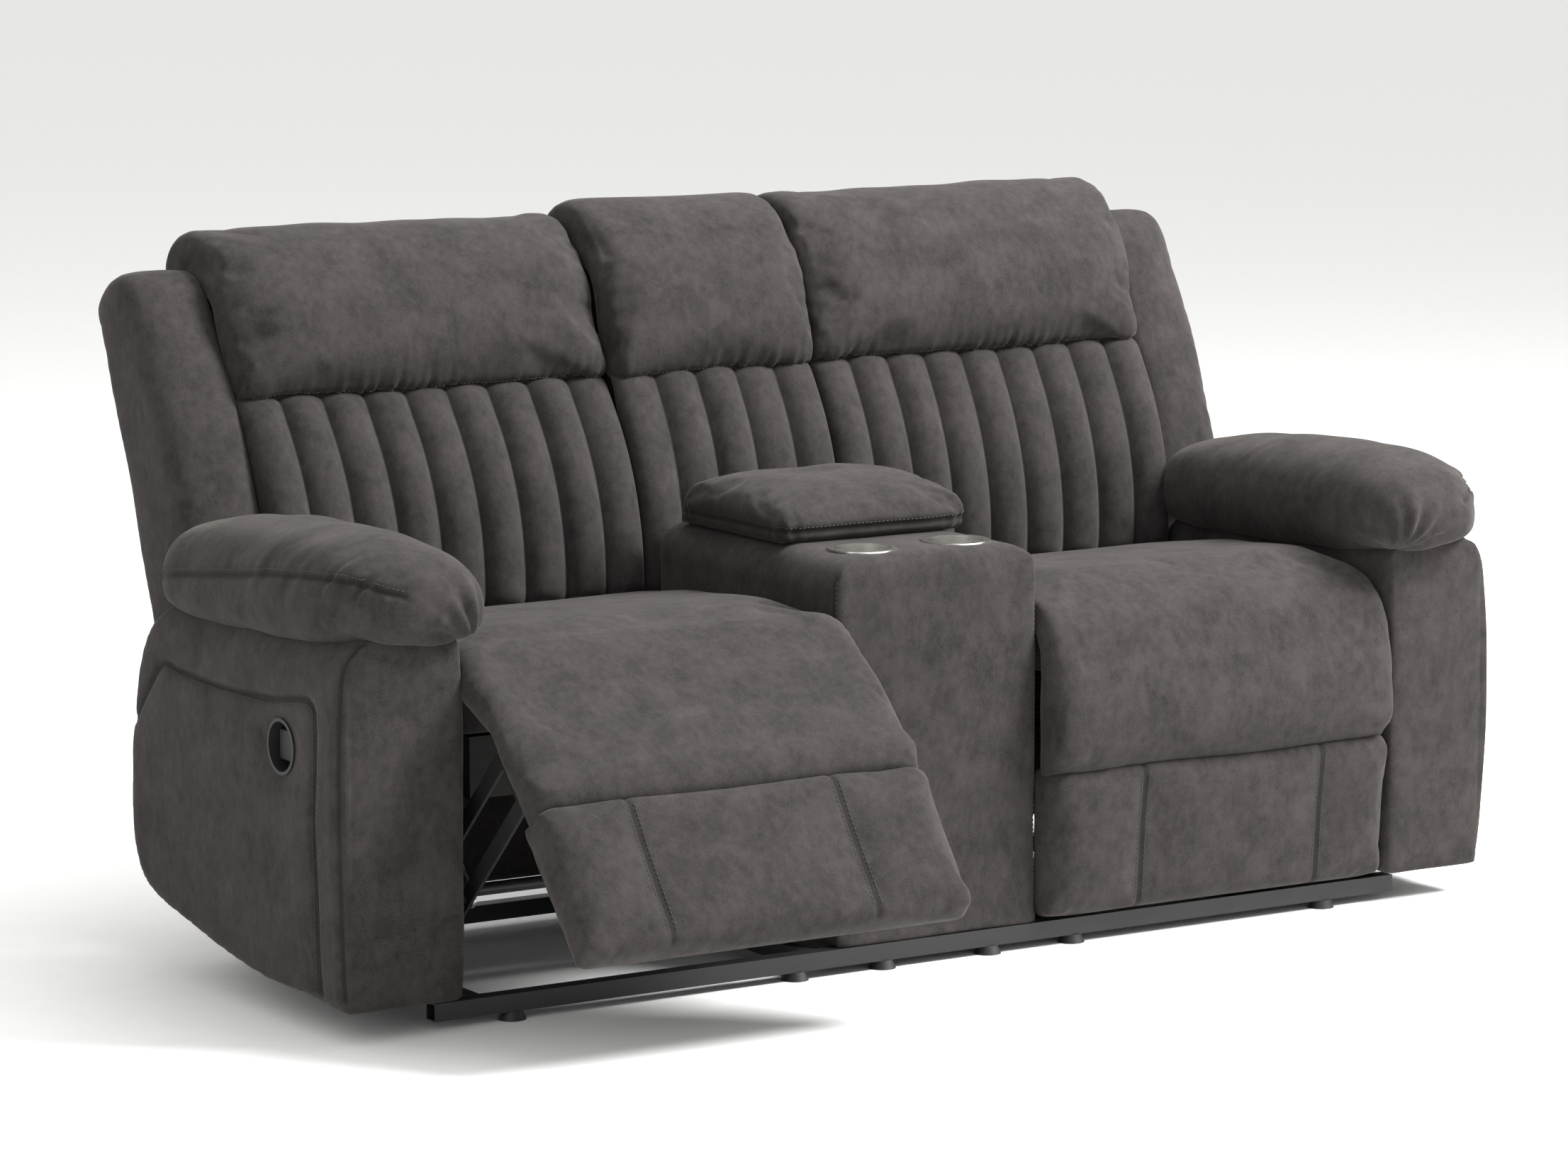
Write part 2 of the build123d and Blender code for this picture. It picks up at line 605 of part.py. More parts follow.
def head_section(x, drop):
    """Section of a head cushion, hooked over the top of its frame."""
    frame_front = -BACK_BAR_DEPTH / 2 - SEAT_CLEARANCE
    frame_top = BACK_TOP + SEAT_CLEARANCE
    lower = (HEAD_BOTTOM_FRONT + drop, HEAD_START)
    bulge = (HEAD_BULGE_FRONT + drop, HEAD_BULGE_UP)
    brow = (HEAD_BROW_FRONT + drop / 2, HEAD_BROW_UP - drop / 2)
    rear = (HEAD_REAR, frame_top)
    section = Polyline(rear, (frame_front, frame_top), (frame_front, HEAD_START), lower)
    section += ThreePointArc(lower, bulge, brow)
    section += ThreePointArc(brow, ((HEAD_BROW_FRONT + HEAD_REAR) / 3, HEAD_TOP - drop), rear)
    return make_face(Plane.YZ.offset(x) * section)


def head_cushion(x):
    places = [(x[0], HEAD_EDGE_DROP), (x[0] + HEAD_EDGE_WIDTH, HEAD_EDGE_STEP), ((x[0] + x[1]) / 2, 0),
              (x[1] - HEAD_EDGE_WIDTH, HEAD_EDGE_STEP), (x[1], HEAD_EDGE_DROP)]
    return loft([head_section(*place) for place in places], ruled=True)


def wing_section(x, drop):
    lower = (WING_FRONT + drop, WING_START)
    middle = (WING_MIDDLE_FRONT + drop, WING_MIDDLE)
    top = (WING_TOP_FRONT + drop, WING_TOP - drop)
    rear = (BACK_REAR, WING_REAR_TOP - drop)
    section = Polyline(rear, (BACK_REAR, WING_REAR_START), lower)
    section += ThreePointArc(lower, middle, top)
    section += ThreePointArc(top, ((WING_TOP_FRONT + BACK_REAR) / 2, WING_TOP - drop), rear)
    return make_face(Plane.YZ.offset(x) * section)


def wing():
    x = (SOFT_X[1], BAY_OUTER + WING_WIDTH)
    places = [(x[0], WING_EDGE_DROP), (x[0] + WING_EDGE_WIDTH, 0), (x[1] - WING_EDGE_WIDTH, 0),
              (x[1], WING_EDGE_DROP)]
    return loft([wing_section(*place) for place in places], ruled=True)


def back_shell(x):
    """Outside back panel with a side wall at each end."""
    shell = block(x, (BACK_REAR - BACK_SHELL, BACK_REAR), (BACK_SHELL_START, BACK_TOP))
    z = (BACK_SIDE_START, BACK_TOP)
    y = (BACK_SIDE_FRONT, BACK_REAR - BACK_SHELL)
    shell += block((x[0], x[0] + BACK_SHELL), y, z)
    shell += block((x[1] - BACK_SHELL, x[1]), y, z)
    return shell


def back_bars(x):
    """Two uprights and three cross bars, joined end to end."""
    y = (-BACK_BAR_DEPTH / 2, BACK_BAR_DEPTH / 2)
    left = (x[0], x[0] + BACK_BAR_WIDTH)
    right = (x[1] - BACK_BAR_WIDTH, x[1])
    bars = [block(side, y, (BACK_BAR_START, BACK_TOP)) for side in (left, right)]
    last = BACK_TOP - BACK_CROSS_BAR
    for start in (CHANNEL_START, (CHANNEL_START + last) / 2, last):
        bars.append(block((left[1], right[0]), y, (start, start + BACK_CROSS_BAR)))
    return bars


def centre_x():
    return (-BAY_INNER + SEAT_CLEARANCE, BAY_INNER - SEAT_CLEARANCE)


def centre_back_frame():
    """Bars of the fixed centre back on two posts that stand on the rear rail."""
    x = (centre_x()[0] + BACK_SHELL, centre_x()[1] - BACK_SHELL)
    bars = [leaned(bar) for bar in back_bars(x)]
    post_y = (REAR_RAIL_Y - RAIL_SIDE / 2, REAR_RAIL_Y + RAIL_SIDE / 2)
    for start in (x[0], x[1] - BACK_BAR_WIDTH):
        post = [(post_y[0], RAIL_TOP_Z), (post_y[1], RAIL_TOP_Z)]
        for z in (LOWER_PANEL_BOTTOM_Z, LOWER_PANEL_TOP_Z):
            post.append((rear_line_y(z) - LOWER_PANEL - SEAT_CLEARANCE, z))
        for y in (BACK_BAR_DEPTH / 2, -BACK_BAR_DEPTH / 2):
            post.append(moved((HINGE_Y, HINGE_Z), swung((y, BACK_BAR_START), LEAN)))
        bars.append(plate(post, (start, start + BACK_BAR_WIDTH)))
    return bars


def lower_back_panel():
    """Fixed panel below the backs, in line with them."""
    points = []
    for inset, heights in ((0, (LOWER_PANEL_BOTTOM_Z, LOWER_PANEL_TOP_Z)),
                           (LOWER_PANEL, (LOWER_PANEL_TOP_Z, LOWER_PANEL_BOTTOM_Z))):
        for z in heights:
            points.append((rear_line_y(z) - inset, z))
    return plate(points, (-BAY_OUTER, BAY_OUTER))


def rear_line_y(z):
    """Where the outside back, carried on downwards, stands at a height."""
    foot = moved((HINGE_Y, HINGE_Z), swung((BACK_REAR, 0), LEAN))
    slope = sin(radians(LEAN)) / cos(radians(LEAN))
    return foot[0] + (z - foot[1]) * slope


# Seat and footrest, drawn for the right-hand seat, closed and upright

def fold_point():
    return (FOLD_Y, FOLD_Z)


def line_point(reach):
    """A point on the slanted line of pivots, measured from the fold line."""
    return (FOLD_Y + reach * cos(radians(LINE_ANGLE)), FOLD_Z - reach * sin(radians(LINE_ANGLE)))


def arm_vector(reach):
    """From a pivot to the joint of a link, closed."""
    return (BRACKET_OFFSET, -reach)


def seat_box():
    x = (BAY_INNER + MECHANISM_GAP, BAY_OUTER - MECHANISM_GAP)
    z = (SEAT_BOX_TOP_Z - SEAT_BOX_HEIGHT, SEAT_BOX_TOP_Z)
    y = (SEAT_BOX_FRONT_Y, SEAT_BOX_REAR_Y)
    inside = (x[0] + SEAT_BOARD, x[1] - SEAT_BOARD)
    return [
        block((x[0], inside[0]), y, z),
        block((inside[1], x[1]), y, z),
        block(inside, (y[0], y[0] + SEAT_BOARD), z),
        block(inside, (y[1] - SEAT_BOARD, y[1]), z),
    ]


def seat_webbing():
    """Elastic straps across the top of the seat box, front board to rear board."""
    inner = BAY_INNER + MECHANISM_GAP + SEAT_BOARD
    pitch = (BAY_WIDTH - 2 * MECHANISM_GAP - 2 * SEAT_BOARD) / WEBBING_COUNT
    z = (SEAT_BOX_TOP_Z, SEAT_BOX_TOP_Z + WEBBING)
    straps = []
    for index in range(WEBBING_COUNT):
        middle = inner + pitch * index + pitch / 2
        x = (middle - WEBBING_WIDTH / 2, middle + WEBBING_WIDTH / 2)
        straps.append(block(x, (SEAT_BOX_FRONT_Y, SEAT_BOX_REAR_Y), z))
    return straps


def seat_section(x, drop):
    """Section of a seat cushion: flat below, crowned above, lower at the back."""
    front = (SEAT_FRONT_Y, SEAT_CROWN_Z - SEAT_FRONT_DROP - drop)
    crest = ((2 * SEAT_FRONT_Y + SEAT_REAR_Y) / 3, SEAT_CROWN_Z - drop)
    rear = (SEAT_REAR_Y, SEAT_CROWN_Z - SEAT_REAR_DROP - drop)
    bottom = SEAT_BOTTOM_Z
    section = Polyline(front, (SEAT_FRONT_Y, bottom), (SEAT_REAR_Y, bottom), rear)
    section += ThreePointArc(rear, crest, front)
    return make_face(Plane.YZ.offset(x) * section)


def seat_cushion():
    places = [(SOFT_X[0], SEAT_EDGE_DROP), (SOFT_X[0] + SEAT_EDGE_WIDTH, SEAT_EDGE_STEP), (BAY_MIDDLE, 0),
              (SOFT_X[1] - SEAT_EDGE_WIDTH, SEAT_EDGE_STEP), (SOFT_X[1], SEAT_EDGE_DROP)]
    return loft([seat_section(*place) for place in places], ruled=True)


def side_plate():
    """Mechanism plate on the seat box, with two legs and a runner on the base rail."""
    front = line_point(FRONT_PIVOT)
    rear = line_point(REAR_PIVOT)
    bottom = SEAT_BOX_TOP_Z - SEAT_BOX_HEIGHT
    middle = SEAT_BOX_TOP_Z - LINK_RADIUS
    web = plate([(front[0], bottom), (HINGE_Y, bottom), (HINGE_Y, middle), (front[0], middle)], PLATE_X)
    runner_z = (RAIL_TOP_Z + SEAT_CLEARANCE, RAIL_TOP_Z + RUNNER_HEIGHT)
    web += block(PLATE_X, (RUNNER_FRONT_Y, RUNNER_REAR_Y), runner_z)
    for start in (LEG_FRONT_Y, LEG_REAR_Y):
        web += block(PLATE_X, (start, start + LEG_WIDTH), (runner_z[0], bottom))
    web += strap([front, rear], PLATE_X)
    web += strap([(HINGE_Y, middle), (HINGE_Y, HINGE_Z)], PLATE_X)
    for pivot in (front, rear, (HINGE_Y, HINGE_Z)):
        web -= rod(pivot, PIN_RADIUS + PIN_CLEARANCE, PLATE_X)
    return web


def swing_link(pivot):
    """Bent link on a side plate with pins for the plate and both couplers."""
    joints = [moved(pivot, arm_vector(reach)) for reach in (UPPER_REACH, LOWER_REACH)]
    link = strap([pivot] + joints, LINK_X)
    link += rod(pivot, PIN_RADIUS, (PLATE_X[0] + SEAT_CLEARANCE, LINK_X[0]))
    for joint in joints:
        link += rod(joint, PIN_RADIUS, (LINK_X[1], COUPLER_X[1]))
    return link


def rear_links():
    """Both rear links on one torque tube."""
    links = both_ends(swing_link(line_point(REAR_PIVOT)))
    joint = moved(line_point(REAR_PIVOT), arm_vector(UPPER_REACH))
    tube = rod(joint, TUBE_RADIUS, (BAY_INNER + BAY_OUTER - LINK_X[0], LINK_X[0]))
    return links[0] + links[1] + tube


def coupler(reach):
    """Bar that joins both links to the footrest bracket."""
    joints = [moved(line_point(distance), arm_vector(reach)) for distance in (REAR_PIVOT, FRONT_PIVOT, 0)]
    return strap([joints[0], joints[2]], COUPLER_X, joints)


def out_point(down, out):
    """A footrest point from its distance down from the fold line and out from the seat front."""
    return (FOLD_Y - out, FOLD_Z - down)


def footrest_board():
    x = (SOFT_X[0] + FOOT_BOARD_INSET, SOFT_X[1] - FOOT_BOARD_INSET)
    y = (FOLD_Y - FOOT_BOARD_BACK - FOOT_BOARD, FOLD_Y - FOOT_BOARD_BACK)
    return block(x, y, (FOLD_Z - FOOT_BOARD_END, FOLD_Z - FOOT_BOARD_START))


def footrest_bracket():
    """Plate on the back of the footrest board with the coupler pins."""
    joints = [moved(fold_point(), arm_vector(reach)) for reach in (UPPER_REACH, LOWER_REACH)]
    bracket = strap(joints, LINK_X)
    back = FOLD_Y - FOOT_BOARD_BACK
    bracket += block(LINK_X, (back, joints[0][0]), (joints[1][1], joints[0][1] - LINK_RADIUS))
    for joint in joints:
        bracket += rod(joint, PIN_RADIUS, (LINK_X[1], COUPLER_X[1]))
    return bracket


def footrest_section(x, down, outs, crest, drop):
    """Section of a footrest pad: flat behind, one or two arcs in front."""
    back = FOOT_BOARD_BACK + FOOT_BOARD
    start = out_point(down[0], max(outs[0] - drop, back + SOFT_GAP))
    end = out_point(down[1], max(outs[1] - drop, back + SOFT_GAP))
    section = Polyline(start, out_point(down[0], back), out_point(down[1], back), end)
    section += ThreePointArc(end, out_point(crest[0], crest[1] - drop), start)
    return make_face(Plane.YZ.offset(x) * section)


def footrest_pad(down, outs, crest):
    places = [(SOFT_X[0], PAD_EDGE_DROP), (SOFT_X[0] + PAD_EDGE_WIDTH, PAD_EDGE_STEP),
              (SOFT_X[1] - PAD_EDGE_WIDTH, PAD_EDGE_STEP), (SOFT_X[1], PAD_EDGE_DROP)]
    return loft([footrest_section(x, down, outs, crest, drop) for x, drop in places], ruled=True)


def back_frame():
    """Back bars with hinge plates that turn on the side plates."""
    x = (BAY_INNER + BAY_OUTER - LINK_X[0], LINK_X[0])
    pieces = back_bars(x)
    for piece in both_ends(strap([(0, 0), (0, BACK_BAR_START + 2 * LINK_RADIUS)], LINK_X)):
        pieces.append(piece)
    pins = both_ends(rod((0, 0), PIN_RADIUS, (PLATE_X[0] + SEAT_CLEARANCE, LINK_X[0])))
    pieces[-2] += pins[0]
    pieces[-1] += pins[1]
    return pieces


def seat(glide, recline, opening):
    """All pieces of one seat at a given glide, back recline and footrest opening."""
    forward = Pos(0, -glide, 0)
    shift = {}
    for reach in (UPPER_REACH, LOWER_REACH):
        closed = arm_vector(reach)
        opened = swung(closed, opening)
        shift[reach] = Pos(0, opened[0] - closed[0], opened[1] - closed[1])
    upper = footrest_pad((UPPER_PAD_START, UPPER_PAD_END), (UPPER_PAD_TOP_OUT, UPPER_PAD_TUCK_OUT),
                         (UPPER_PAD_CREST, UPPER_PAD_BULGE))
    lower = footrest_pad((LOWER_PAD_START, LOWER_PAD_END), (LOWER_PAD_TOP_OUT, LOWER_PAD_HEM_OUT),
                         ((LOWER_PAD_START + LOWER_PAD_END) / 2, LOWER_PAD_BULGE))
    still = {
        "seat_box": seat_box(),
        "seat_webbing": seat_webbing(),
        "seat_cushion": [seat_cushion()],
        "side_plates": both_ends(side_plate()),
    }
    fold = {
        "footrest_board": [footrest_board()],
        "footrest_brackets": both_ends(footrest_bracket()),
        "footrest_upper_pad": [upper],
        "footrest_lower_pad": [lower],
    }
    back = {
        "back_frame": back_frame(),
        "back_channels": [channel_pad(SOFT_X)],
        "head_cushion": [head_cushion(SOFT_X)],
        "wing": [wing()],
        "back_panel": [back_shell(SOFT_X)],
    }
    front = line_point(FRONT_PIVOT)
    rear = line_point(REAR_PIVOT)
    nodes = {name: list(pieces) for name, pieces in still.items()}
    nodes["front_links"] = [turned(piece, front, opening) for piece in both_ends(swing_link(front))]
    nodes["rear_links"] = [turned(rear_links(), rear, opening)]
    nodes["upper_couplers"] = [shift[UPPER_REACH] * piece for piece in both_ends(coupler(UPPER_REACH))]
    nodes["lower_couplers"] = [shift[LOWER_REACH] * piece for piece in both_ends(coupler(LOWER_REACH))]
    for name, pieces in fold.items():
        nodes[name] = [turned(piece, fold_point(), opening) for piece in pieces]
    for name, pieces in back.items():
        nodes[name] = [leaned(piece, recline) for piece in pieces]
    return {name: [forward * piece for piece in pieces] for name, pieces in nodes.items()}


def mirrored(pieces):
    return [mirror(piece, about=Plane.YZ) for piece in pieces]


def whole_sofa():
    """Every node of the sofa as a list of its solids."""
    nodes = {
        "cross_rails": cross_rails(),
        "base_rails": base_rails(),
        "glide_feet": glide_feet(),
        "console_box": [console_box()],
        "console_deck": [console_deck()],
        "console_cover": console_cover(),
        "cup_holders": cup_holders(),
        "lid_hinge": [lid_hinge()],
        "lid_board": [lid_board()],
        "lid_pad": [lid_pad()],
        "centre_back_frame": centre_back_frame(),
        "centre_back_channels": [leaned(channel_pad(centre_x()))],
        "centre_head_cushion": [leaned(head_cushion(centre_x()))],
        "centre_back_panel": [leaned(back_shell(centre_x()))],
        "lower_back_panel": [lower_back_panel()],
        "pull_cups": [pull_cup()] + mirrored([pull_cup()]),
    }
    arms = {
        "arm_frame": arm_frame(),
        "arm_cover": arm_cover(),
        "arm_front": [arm_front()],
        "arm_pad": arm_pad(),
        "pull_paddle": [pull_paddle()],
    }
    for name, pieces in arms.items():
        nodes["right_" + name] = pieces
        nodes["left_" + name] = mirrored(pieces)
    for name, pieces in seat(0.0, 0.0, 0.0).items():
        nodes["right_" + name] = pieces
    for name, pieces in seat(LEFT_GLIDE, LEFT_RECLINE, LEFT_OPENING).items():
        nodes["left_" + name] = mirrored(pieces)
    return nodes


def home_move(nodes):
    """The move that puts the origin on the floor, under the middle of the whole sofa."""
    solids = [solid for pieces in nodes.values() for piece in pieces for solid in piece.solids()]
    box = Compound(children=solids).bounding_box()
    return Pos(-(box.min.X + box.max.X) / 2, -(box.min.Y + box.max.Y) / 2, -box.min.Z)


def main():
    nodes = whole_sofa()
    home = home_move(nodes)
    print("moved to its origin by", home.position)
    os.makedirs("parts", exist_ok=True)
    for name, pieces in nodes.items():
        solids = [home * solid for piece in pieces for solid in piece.solids()]
        export_step(Compound(children=solids), os.path.join("parts", name + ".step"))


if __name__ == "__main__":
    main()
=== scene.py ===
import json
from math import radians

import bmesh
import bpy
import numpy as np
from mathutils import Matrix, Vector
from mathutils.bvhtree import BVHTree

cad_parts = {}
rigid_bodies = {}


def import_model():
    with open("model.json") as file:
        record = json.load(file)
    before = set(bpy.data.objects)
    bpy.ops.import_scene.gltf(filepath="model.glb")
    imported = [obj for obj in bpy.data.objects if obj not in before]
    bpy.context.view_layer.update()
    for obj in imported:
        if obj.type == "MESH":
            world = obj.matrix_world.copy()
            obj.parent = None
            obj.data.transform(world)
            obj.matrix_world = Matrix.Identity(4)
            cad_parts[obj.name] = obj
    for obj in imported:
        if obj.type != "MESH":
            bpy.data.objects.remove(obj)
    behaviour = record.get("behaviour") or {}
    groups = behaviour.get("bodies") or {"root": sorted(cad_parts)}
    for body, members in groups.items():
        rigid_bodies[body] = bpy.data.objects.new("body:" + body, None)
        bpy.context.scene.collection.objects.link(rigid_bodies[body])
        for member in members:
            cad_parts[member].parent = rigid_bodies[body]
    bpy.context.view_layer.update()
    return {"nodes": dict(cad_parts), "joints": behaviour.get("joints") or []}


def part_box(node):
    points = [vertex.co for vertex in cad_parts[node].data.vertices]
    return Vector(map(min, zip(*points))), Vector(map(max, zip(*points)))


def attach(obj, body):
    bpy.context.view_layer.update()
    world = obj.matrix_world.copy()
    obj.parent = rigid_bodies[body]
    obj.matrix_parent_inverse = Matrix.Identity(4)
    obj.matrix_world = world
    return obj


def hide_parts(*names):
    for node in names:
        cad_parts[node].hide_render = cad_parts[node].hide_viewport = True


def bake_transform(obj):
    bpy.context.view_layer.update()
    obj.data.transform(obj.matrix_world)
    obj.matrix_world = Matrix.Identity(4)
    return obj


bl_info = {
    "name": "Recliner Sofa Upholstery",
    "version": (1, 0, 0),
    "blender": (4, 5, 0),
    "location": "3D View > Sidebar > Recliner Sofa",
    "description": "Dresses the frame of a two-seat recliner sofa with padded suede, stitching and metal finishes",
    "category": "Object",
}

for stray in list(bpy.data.objects):
    bpy.data.objects.remove(stray)
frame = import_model()
JOINTS = {joint["name"]: joint for joint in frame["joints"]}

# Places are in millimetres: across from the sofa's middle, back from the middle of the arms, up from the floor.
FOLD = (-440.0, 528.0)
HINGE = (150.0, 400.0)
LEAN = radians(16)
ARMS_MIDDLE = JOINTS["right_footrest_fold"]["pos_m"][1] - FOLD[0] / 1000
LEFT_GLIDE = (JOINTS["right_recline"]["pos_m"][1] - JOINTS["left_recline"]["pos_m"][1]) * 1000
LEFT_OPENING = radians(-JOINTS["left_footrest_fold"]["range_deg"][0])
LEFT_RECLINE = radians(-JOINTS["left_recline"]["range_deg"][0])


def width_of(node, wider=0):
    """The left and right sides of a solid, made wider by what its stuffing adds."""
    low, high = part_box(node)
    return low[0] * 1000 - wider, high[0] * 1000 + wider


STUFFED_WIDER = 2
SEAT_X = width_of("right_seat_cushion")
BACK_X = width_of("right_seat_cushion", STUFFED_WIDER)
CENTRE_X = width_of("centre_back_channels", STUFFED_WIDER)
ARM_X = width_of("right_arm_front")


def to_linear(code):
    """An sRGB hex colour as linear red, green and blue."""
    shades = [int(code[i:i + 2], 16) / 255 for i in (1, 3, 5)]
    return tuple(c / 12.92 if c <= 0.04045 else ((c + 0.055) / 1.055) ** 2.4 for c in shades)


# Sizes and colours that a user would change

class SofaSoftGoods(bpy.types.PropertyGroup):
    """Sizes of the padding, channels and seams."""
    voxel: bpy.props.FloatProperty(
        name="Cloth mesh", description="Mesh size of the cloth before it is blown up", default=0.0095,
        unit="LENGTH")
    swell: bpy.props.FloatProperty(
        name="Swell", description="How far stuffing may push the cover out", default=0.024, unit="LENGTH")
    pressure: bpy.props.FloatProperty(
        name="Stuffing pressure", description="Pressure of the stuffing inside the covers", default=4.0)
    channel_depth: bpy.props.FloatProperty(
        name="Channel depth", description="Depth of the sewn valleys in the backs", default=0.024, unit="LENGTH")
    channel_count: bpy.props.IntProperty(
        name="Channels per seat", description="Upright sewn channels in each seat back", default=9)
    centre_count: bpy.props.IntProperty(
        name="Channels in the centre", description="Upright sewn channels in the centre back", default=5)
    seam_depth: bpy.props.FloatProperty(
        name="Seam depth", description="How far a sewn seam pulls the cover in", default=0.005, unit="LENGTH")
    stitch: bpy.props.FloatProperty(
        name="Stitch length", description="Length of one stitch of the top thread", default=0.0052, unit="LENGTH")
    thread: bpy.props.FloatProperty(
        name="Thread", description="Diameter of the top thread", default=0.0011, unit="LENGTH")


class SofaFinishes(bpy.types.PropertyGroup):
    """Colours of the covers and the fittings."""
    suede_dark: bpy.props.FloatVectorProperty(
        name="Suede, brushed down", description="Cover colour where the nap lies away from the light",
        subtype="COLOR", default=to_linear("#1c1a1a"))
    suede_light: bpy.props.FloatVectorProperty(
        name="Suede, brushed up", description="Cover colour where the nap catches the light",
        subtype="COLOR", default=to_linear("#3d3938"))
    thread: bpy.props.FloatVectorProperty(
        name="Thread", description="Colour of the top stitching", subtype="COLOR", default=to_linear("#3a3735"))
    black_steel: bpy.props.FloatVectorProperty(
        name="Black steel", description="Enamel on the mechanism and the base", subtype="COLOR",
        default=to_linear("#090909"))
    black_plastic: bpy.props.FloatVectorProperty(
        name="Black plastic", description="Moulded pull cups and paddles", subtype="COLOR",
        default=to_linear("#060606"))


class SofaStage(bpy.types.PropertyGroup):
    """Floor, light and camera."""
    floor: bpy.props.FloatVectorProperty(
        name="Floor", description="Colour of the pale floor", subtype="COLOR", default=to_linear("#f4f4f2"))
    key: bpy.props.FloatProperty(
        name="Key light", description="Power of the large soft key light", default=700.0, unit="POWER")
    fill: bpy.props.FloatProperty(
        name="Fill light", description="Power of the soft light on the other side", default=30.0, unit="POWER")
    sky: bpy.props.FloatProperty(
        name="Room light", description="Strength of the even light all round", default=0.85)
    lens: bpy.props.FloatProperty(
        name="Lens", description="Focal length of the camera", default=126.6, unit="CAMERA")


# Placing and shaping

def metres(points):
    """Points in millimetres as metres in the frame."""
    return np.asarray(points, float) / 1000 + (0, ARMS_MIDDLE, 0)


def turned(points, pivot, angle):
    """Swing points about a level line through (back, up): what is below comes forward."""
    back = points[..., 1] - pivot[0]
    up = points[..., 2] - pivot[1]
    out = points.copy()
    out[..., 1] = pivot[0] + back * np.cos(angle) + up * np.sin(angle)
    out[..., 2] = pivot[1] - back * np.sin(angle) + up * np.cos(angle)
    return out


def ramp(values):
    return np.clip(values, 0, 1)


def bell(far, reach):
    """A soft bump: 1 at no distance, nearly gone at twice its reach."""
    return np.exp(-(far / reach) ** 2)


def full_turn(count):
    return np.linspace(0, 2 * np.pi, count, endpoint=False)


def in_metres(point):
    """A (back, up) place in the frame."""
    return (point[0] / 1000 + ARMS_MIDDLE, point[1] / 1000)


def curve_through(points, count, closed=False):
    """Evenly spaced points on a smooth curve through the given ones."""
    knots = np.asarray(points, float)
    if closed:
        ends = np.vstack([knots[-1:], knots, knots[:2]])
    else:
        ends = np.vstack([2 * knots[:1] - knots[1:2], knots, 2 * knots[-1:] - knots[-2:-1]])
    steps = np.linspace(0, 1, 16, endpoint=False)[:, None]
    fine = [0.5 * (2 * b + (c - a) * steps + (2 * a - 5 * b + 4 * c - d) * steps ** 2
                   + (3 * b - a - 3 * c + d) * steps ** 3)
            for a, b, c, d in zip(ends, ends[1:], ends[2:], ends[3:])]
    fine = np.vstack(fine + [knots[:1] if closed else knots[-1:]])
    length = np.concatenate([[0], np.cumsum(np.linalg.norm(np.diff(fine, axis=0), axis=1))])
    places = np.linspace(0, length[-1], count, endpoint=not closed)
    return np.column_stack([np.interp(places, length, fine[:, axis]) for axis in range(fine.shape[1])])


def drawn_in(outline, by):
    """A closed outline moved inwards by a distance."""
    along = np.roll(outline, -1, 0) - np.roll(outline, 1, 0)
    along /= np.linalg.norm(along, axis=1)[:, None]
    after = np.roll(outline, -1, 0)
    area = np.sum(outline[:, 0] * after[:, 1] - after[:, 0] * outline[:, 1])
    return outline + by * np.sign(area) * np.column_stack([-along[:, 1], along[:, 0]])


def meshed(name, points, faces):
    """A new mesh object with its faces turned outwards."""
    mesh = bpy.data.meshes.new(name)
    mesh.from_pydata(np.asarray(points).reshape(-1, 3).tolist(), [], faces)
    piece = bpy.data.objects.new(name, mesh)
    bpy.context.scene.collection.objects.link(piece)
    skin = bmesh.new()
    skin.from_mesh(mesh)
    bmesh.ops.recalc_face_normals(skin, faces=skin.faces)
    skin.to_mesh(mesh)
    skin.free()
    return piece


def ring_faces(many, count, first=0):
    """Faces of a closed skin through equal rings of points, with a cap at each end."""
    starts = [first + ring * count for ring in range(many)]
    faces = [(low + j, low + (j + 1) % count, low + count + (j + 1) % count, low + count + j)
             for low in starts[:-1] for j in range(count)]
    return faces + [tuple(range(low, low + count)) for low in (starts[0], starts[-1])]


def lofted(name, rings):
    """A closed skin through equal rings of points, capped at both ends."""
    rings = np.asarray(rings)
    return meshed(name, rings, ring_faces(*rings.shape[:2]))


SQUARE_REACH, SQUARE_LEAST = 30.0, 0.1


def across(name, outline, x, insets, square=()):
    """A skin with one (back, up) outline across a width, drawn in towards both ends except near square points."""
    free = 1.0
    if square:
        far = np.linalg.norm(outline[:, None] - np.asarray(square, float), axis=2).min(1)
        free = np.clip(far / SQUARE_REACH, SQUARE_LEAST, 1)[:, None]
    stations = [(x[0] + step, inset) for step, inset in insets]
    stations += [(x[1] - step, inset) for step, inset in reversed(insets)]
    rings = []
    for place, inset in stations:
        ring = drawn_in(outline, inset * free)
        rings.append(metres(np.column_stack([np.full(len(ring), place), ring])))
    return lofted(name, rings)


def places_of(piece):
    flat = np.empty(len(piece.data.vertices) * 3)
    piece.data.vertices.foreach_get("co", flat)
    return flat.reshape(-1, 3)


def put(piece, points):
    piece.data.vertices.foreach_set("co", np.asarray(points, float).ravel())
    piece.data.update()


def outward(piece):
    """Unit normals of the points of a mesh."""
    flat = np.empty(len(piece.data.vertices) * 3)
    piece.data.vertex_normals.foreach_get("vector", flat)
    return flat.reshape(-1, 3)


def pushed(piece, amount):
    """Move a cover out along its normals, each point by its own amount."""
    put(piece, places_of(piece) + outward(piece) * amount[:, None])


def settled(piece):
    """Make what the modifiers show into the mesh itself."""
    shown = piece.evaluated_get(bpy.context.evaluated_depsgraph_get())
    mesh = bpy.data.meshes.new_from_object(shown)
    piece.modifiers.clear()
    piece.data = mesh


def remeshed(piece, voxel):
    modifier = piece.modifiers.new("Cloth mesh", "REMESH")
    modifier.mode = "VOXEL"
    modifier.voxel_size = voxel
    settled(piece)


EASING = (0.5, -0.52)


